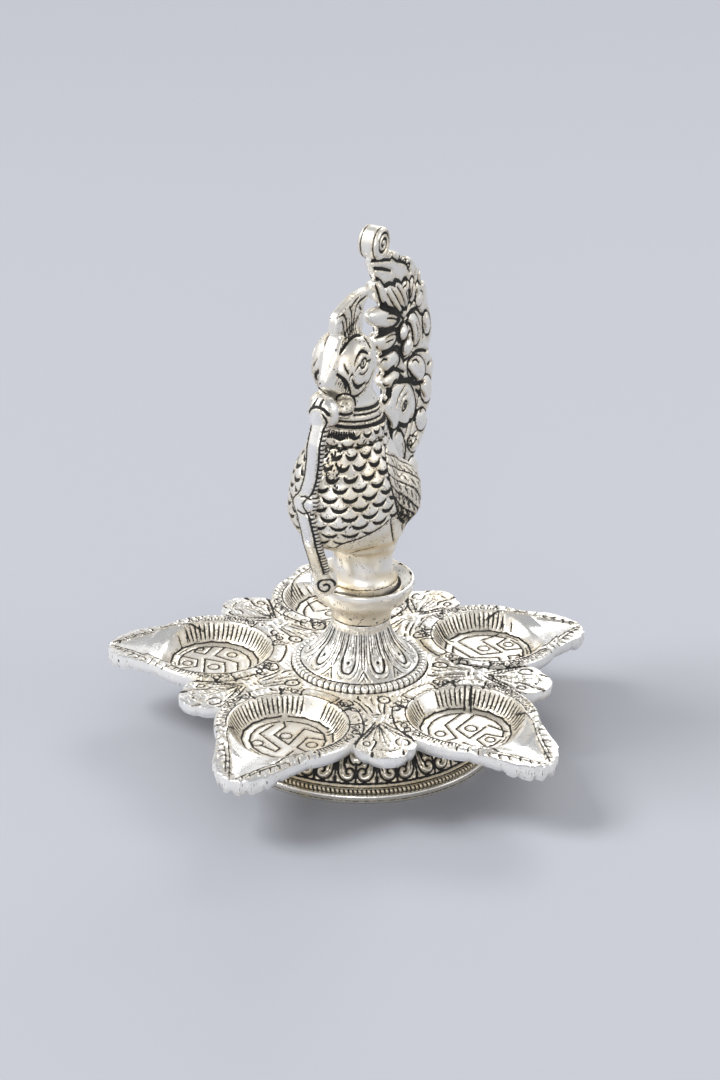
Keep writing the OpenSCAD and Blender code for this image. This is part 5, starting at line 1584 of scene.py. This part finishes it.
# Snake: rows of its middle line down from the beak, as shares of drop, sideways sway and reach to the front
SNAKE = [[0.1, 0, 0.92], [0.2, 0, 0.985], [0.32, -0.15, 0.985], [0.40, -0.45, 1.0], [0.46, -1.1, 1.0],
         [0.53, -0.5, 1.03], [0.64, -0.25, 0.985], [0.76, -0.35, 0.86], [0.88, -0.65, 0.70]]
SNAKE_TOP, SNAKE_BALL, SWAY, SNAKE_FRONT = (0.0, -22.09, 99.48), (-3.0, -14.72, 48.37), 3.0, 27.4
KNOB, SCROLL, WAIST = (-0.1, -22.8, 97.7), (-3.0, -15.0, 49.3), (-1.2, -27.6, 75.9)
KNOB_STROKES = ((0.3, 0.3, 0, arc(KNOB[0], KNOB[2] - 0.6, 3.0, 25, 160)),
                (0.3, 0.2, 0.4, [[-1.9, 99.8], [-1.3, 101.6]]), (0.3, 0.2, 0.4, [[0.2, 100.0], [0.5, 101.8]]),
                (0.22, 0.2, 0.4, spline([[1.2, 98.6], [2.2, 96.8], [1.8, 94.8]])),
                (0.15, 0.2, 0, [[-2.6, 77.6], [-1.4, 78.0], [0.2, 77.5]]),
                (0.15, 0.2, 0, [[-3.2, 74.0], [-1.6, 73.5], [0.1, 74.0]]))


def snake_path():
    """Heights of the snake's middle line, with its place sideways and along the bird."""
    drop = SNAKE_BALL[2] - SNAKE_TOP[2]
    rows = [[SNAKE_TOP[2] + a * drop, b * SWAY, -c * SNAKE_FRONT] for a, b, c in SNAKE]
    ends = [[p[2], p[0], p[1]] for p in (SNAKE_TOP, SNAKE_BALL)]
    return np.array([ends[0]] + rows + [ends[1]])[::-1]


def snake_solid(x, y, z, path):
    """A flat bar along the path, with its knob, waist and low scroll."""
    levels = z[0, 0]
    cx, cy = curve(levels, path, 1), curve(levels, path, 2)
    depth = 1.6 * np.sqrt(1 + np.gradient(cy, levels) ** 2)
    k = ((np.abs(x - cx) / 2.45) ** 2.6 + (np.abs(y - cy) / depth) ** 2.6) ** (1 / 2.6)
    solid = np.maximum((k - 1) * 1.4, np.maximum(z - SNAKE_TOP[2], SNAKE_BALL[2] - z))
    for middle, radii in ((KNOB, (4.0, 3.6, 4.6)), (WAIST, (2.9, 2.3, 2.9)), (SCROLL, (3.6, 3.3, 4.2))):
        solid = blend(solid, (egg((x, y, z), middle, radii) - 1) * min(radii), 0.7)
    return solid


def build_snake():
    step, lo, hi = 0.3, (-7.2, -30.6, 44.4), (4.6, -10.0, 103.4)
    path = snake_path()
    v, quads = skin(snake_solid(*lattice(lo, hi, step), path), np.array(lo), step)
    n = vertex_normals(v, quads)
    # a bright filed front, dark edges and ribs along the sides
    across, back = v[:, 0] - curve(v[:, 2], path, 1), v[:, 1] - curve(v[:, 2], path, 2)
    ends = 2 * (1 - smooth((v[:, 2] - 52.2) / 1.5) * smooth((96.6 - v[:, 2]) / 1.5))
    edges = np.abs(np.abs(across) - 1.75) - 0.2 + ends + (n[:, 1] > 0.2) * 2.0
    ribs = 0.16 + 0.42 * np.sin(v[:, 2] * 2 * math.pi / 1.05 + 0.9 * back) + ends
    ink = np.minimum(edges, np.where(np.abs(n[:, 0]) > 0.62, ribs, FAR))
    chart = Relief(v[:, [0, 2]])
    chart.draw(KNOB_STROKES, step=None)
    ink = np.minimum(ink, np.where(n[:, 1] < -0.1, chart.ink, FAR))
    # a scroll on the low ball, seen from the ball's right front
    out = v - SCROLL
    ball = Relief(np.stack([out[:, 0] * 0.88 + out[:, 1] * 0.47, out[:, 2]], 1))
    ball.line(spiral(2.6, 0.5, 500, 50) + [0.3, -0.2], 0.24, 0.25)
    on_ball = (out[:, 2] < 3.6) & (n @ [0.47, -0.88, 0.0] > 0.1)
    ink = np.where(on_ball, np.minimum(ink, ball.ink), ink)
    v = v - n * (0.1 + np.clip(0.22 - ink, 0, 0.3) * 0.5)[:, None]
    part = Part()
    part.add(v, quads, ink)
    part.make("snake_casting", "snake", SNAKE_SILVER)


build_foot()
build_tray()
build_cone()
build_saucer()
build_body()
build_head()
build_tail()
build_snake()


# Stage
BACKDROP, PAPER = (0.565, 0.59, 0.65), (0.352, 0.363, 0.402)
FLOOR_HALF, FADE_FROM, FADE_TO = 6.0, 0.45, 1.6
# Skies by the height of the ray: what lights the lamp, and what camera, metal and glass see
SKY_LIGHT = ((0.0, (0.34, 0.36, 0.41)), (0.3, (0.50, 0.51, 0.54)), (0.7, (0.78, 0.78, 0.78)))
SKY_SEEN = ((0.0, BACKDROP), (0.12, (0.85, 0.86, 0.88)), (0.24, (1.0, 1.0, 1.0)), (0.34, (0.82, 0.82, 0.83)),
            (0.6, (0.36, 0.365, 0.38)))
# Soft lamps in metres: place, the height they aim at, size and power
LAMPS = (("key", (-1.1, -0.7, 1.5), 0.06, 0.8, 0.8, 35.0), ("front", (0.75, -1.6, 0.8), 0.06, 0.6, 0.9, 8.0),
         ("right", (1.4, 0.4, 0.9), 0.07, 0.5, 0.9, 4.0), ("back", (-0.2, 1.6, 1.2), 0.07, 1.0, 0.5, 9.5))


def seen_rays(nodes):
    """1 where the camera, metal or glass looks at the background, 0 where it only lights the object."""
    path = nodes.add("LightPath").outputs
    total = nodes.math("ADD", path["Is Camera Ray"], path["Is Glossy Ray"], clamp=True)
    return nodes.math("ADD", total, path["Is Transmission Ray"], clamp=True)


def floor_material():
    """Pale blue-grey paper, which fades into the backdrop's colour far from the lamp."""
    material, nodes, shader = new_material("floor_paper")
    nodes.feed(shader, {"Base Color": PAPER, "Roughness": 0.6})
    far = nodes.add("Emission", {"Color": BACKDROP})
    place = nodes.add("NewGeometry").outputs["Position"]
    distance = nodes.add("VectorMath", {0: place}, operation="LENGTH").outputs["Value"]
    share = nodes.math("MULTIPLY", nodes.ramp(distance, FADE_FROM, FADE_TO, 0.0, 1.0), seen_rays(nodes))
    surface = nodes.mix_shaders(share, shader.outputs[0], far.outputs[0])
    nodes.feed(nodes.tree.nodes["Material Output"], {"Surface": surface})
    return material


def sky(nodes, height, stops):
    """A background that changes its colour with the height of the ray."""
    ramp = nodes.add("ValToRGB", {"Fac": height})
    points = ramp.color_ramp.elements
    while len(points) < len(stops):
        points.new(0.5)
    for point, (position, colour) in zip(points, stops):
        point.position, point.color = position, (*colour, 1)
    return nodes.add("Background", {"Color": ramp.outputs["Color"]}).outputs[0]


def studio_world():
    """Soft white light from above; camera, metal and glass see a pale tent that is dark overhead."""
    world = bpy.data.worlds.new("studio")
    bpy.context.scene.world = world
    nodes = Nodes(world)
    nodes.tree.nodes.clear()
    place = nodes.add("TexCoord").outputs["Generated"]
    height = nodes.add("SeparateXYZ", {"Vector": place}).outputs["Z"]
    skies = [sky(nodes, height, stops) for stops in (SKY_LIGHT, SKY_SEEN)]
    nodes.add("OutputWorld", {"Surface": nodes.mix_shaders(seen_rays(nodes), *skies)})


def place_on_stage(name, data):
    """An object of the stage, which is no part of the lamp."""
    thing = bpy.data.objects.new(name, data)
    bpy.context.scene.collection.objects.link(thing)
    return thing


def build_stage():
    corners = [(x * FLOOR_HALF, y * FLOOR_HALF, 0) for x, y in ((-1, -1), (1, -1), (1, 1), (-1, 1))]
    floor = bpy.data.meshes.new("floor")
    floor.from_pydata(corners, [], [(0, 1, 2, 3)])
    floor.materials.append(floor_material())
    place_on_stage("floor", floor)
    studio_world()
    for name, place, target_z, size_x, size_y, power in LAMPS:
        light = bpy.data.lights.new(name, "AREA")
        light.shape = "RECTANGLE"
        light.size, light.size_y, light.energy = size_x, size_y, power
        lamp = place_on_stage(name, light)
        lamp.location = place
        lamp.rotation_euler = (Vector((0, 0, target_z)) - Vector(place)).to_track_quat("-Z", "Y").to_euler()


def build_camera():
    """The camera that was fitted to the photograph."""
    lens = bpy.data.cameras.new("photo_camera")
    lens.lens, lens.sensor_fit, lens.sensor_width = 90.0, "AUTO", 36.0
    lens.clip_start, lens.clip_end = 0.05, 10
    camera = bpy.data.objects.new("photo_camera", lens)
    bpy.context.scene.collection.objects.link(camera)
    camera.matrix_world = Matrix(((0.886175, -0.216687, 0.409561, 0.277716),
                                  (0.462475, 0.359328, -0.810556, -0.551456),
                                  (0.028470, 0.907706, 0.418640, 0.339821),
                                  (0.0, 0.0, 0.0, 1.0)))
    bpy.context.scene.camera = camera


build_stage()
build_camera()
bpy.context.scene.view_settings.view_transform = "Standard"
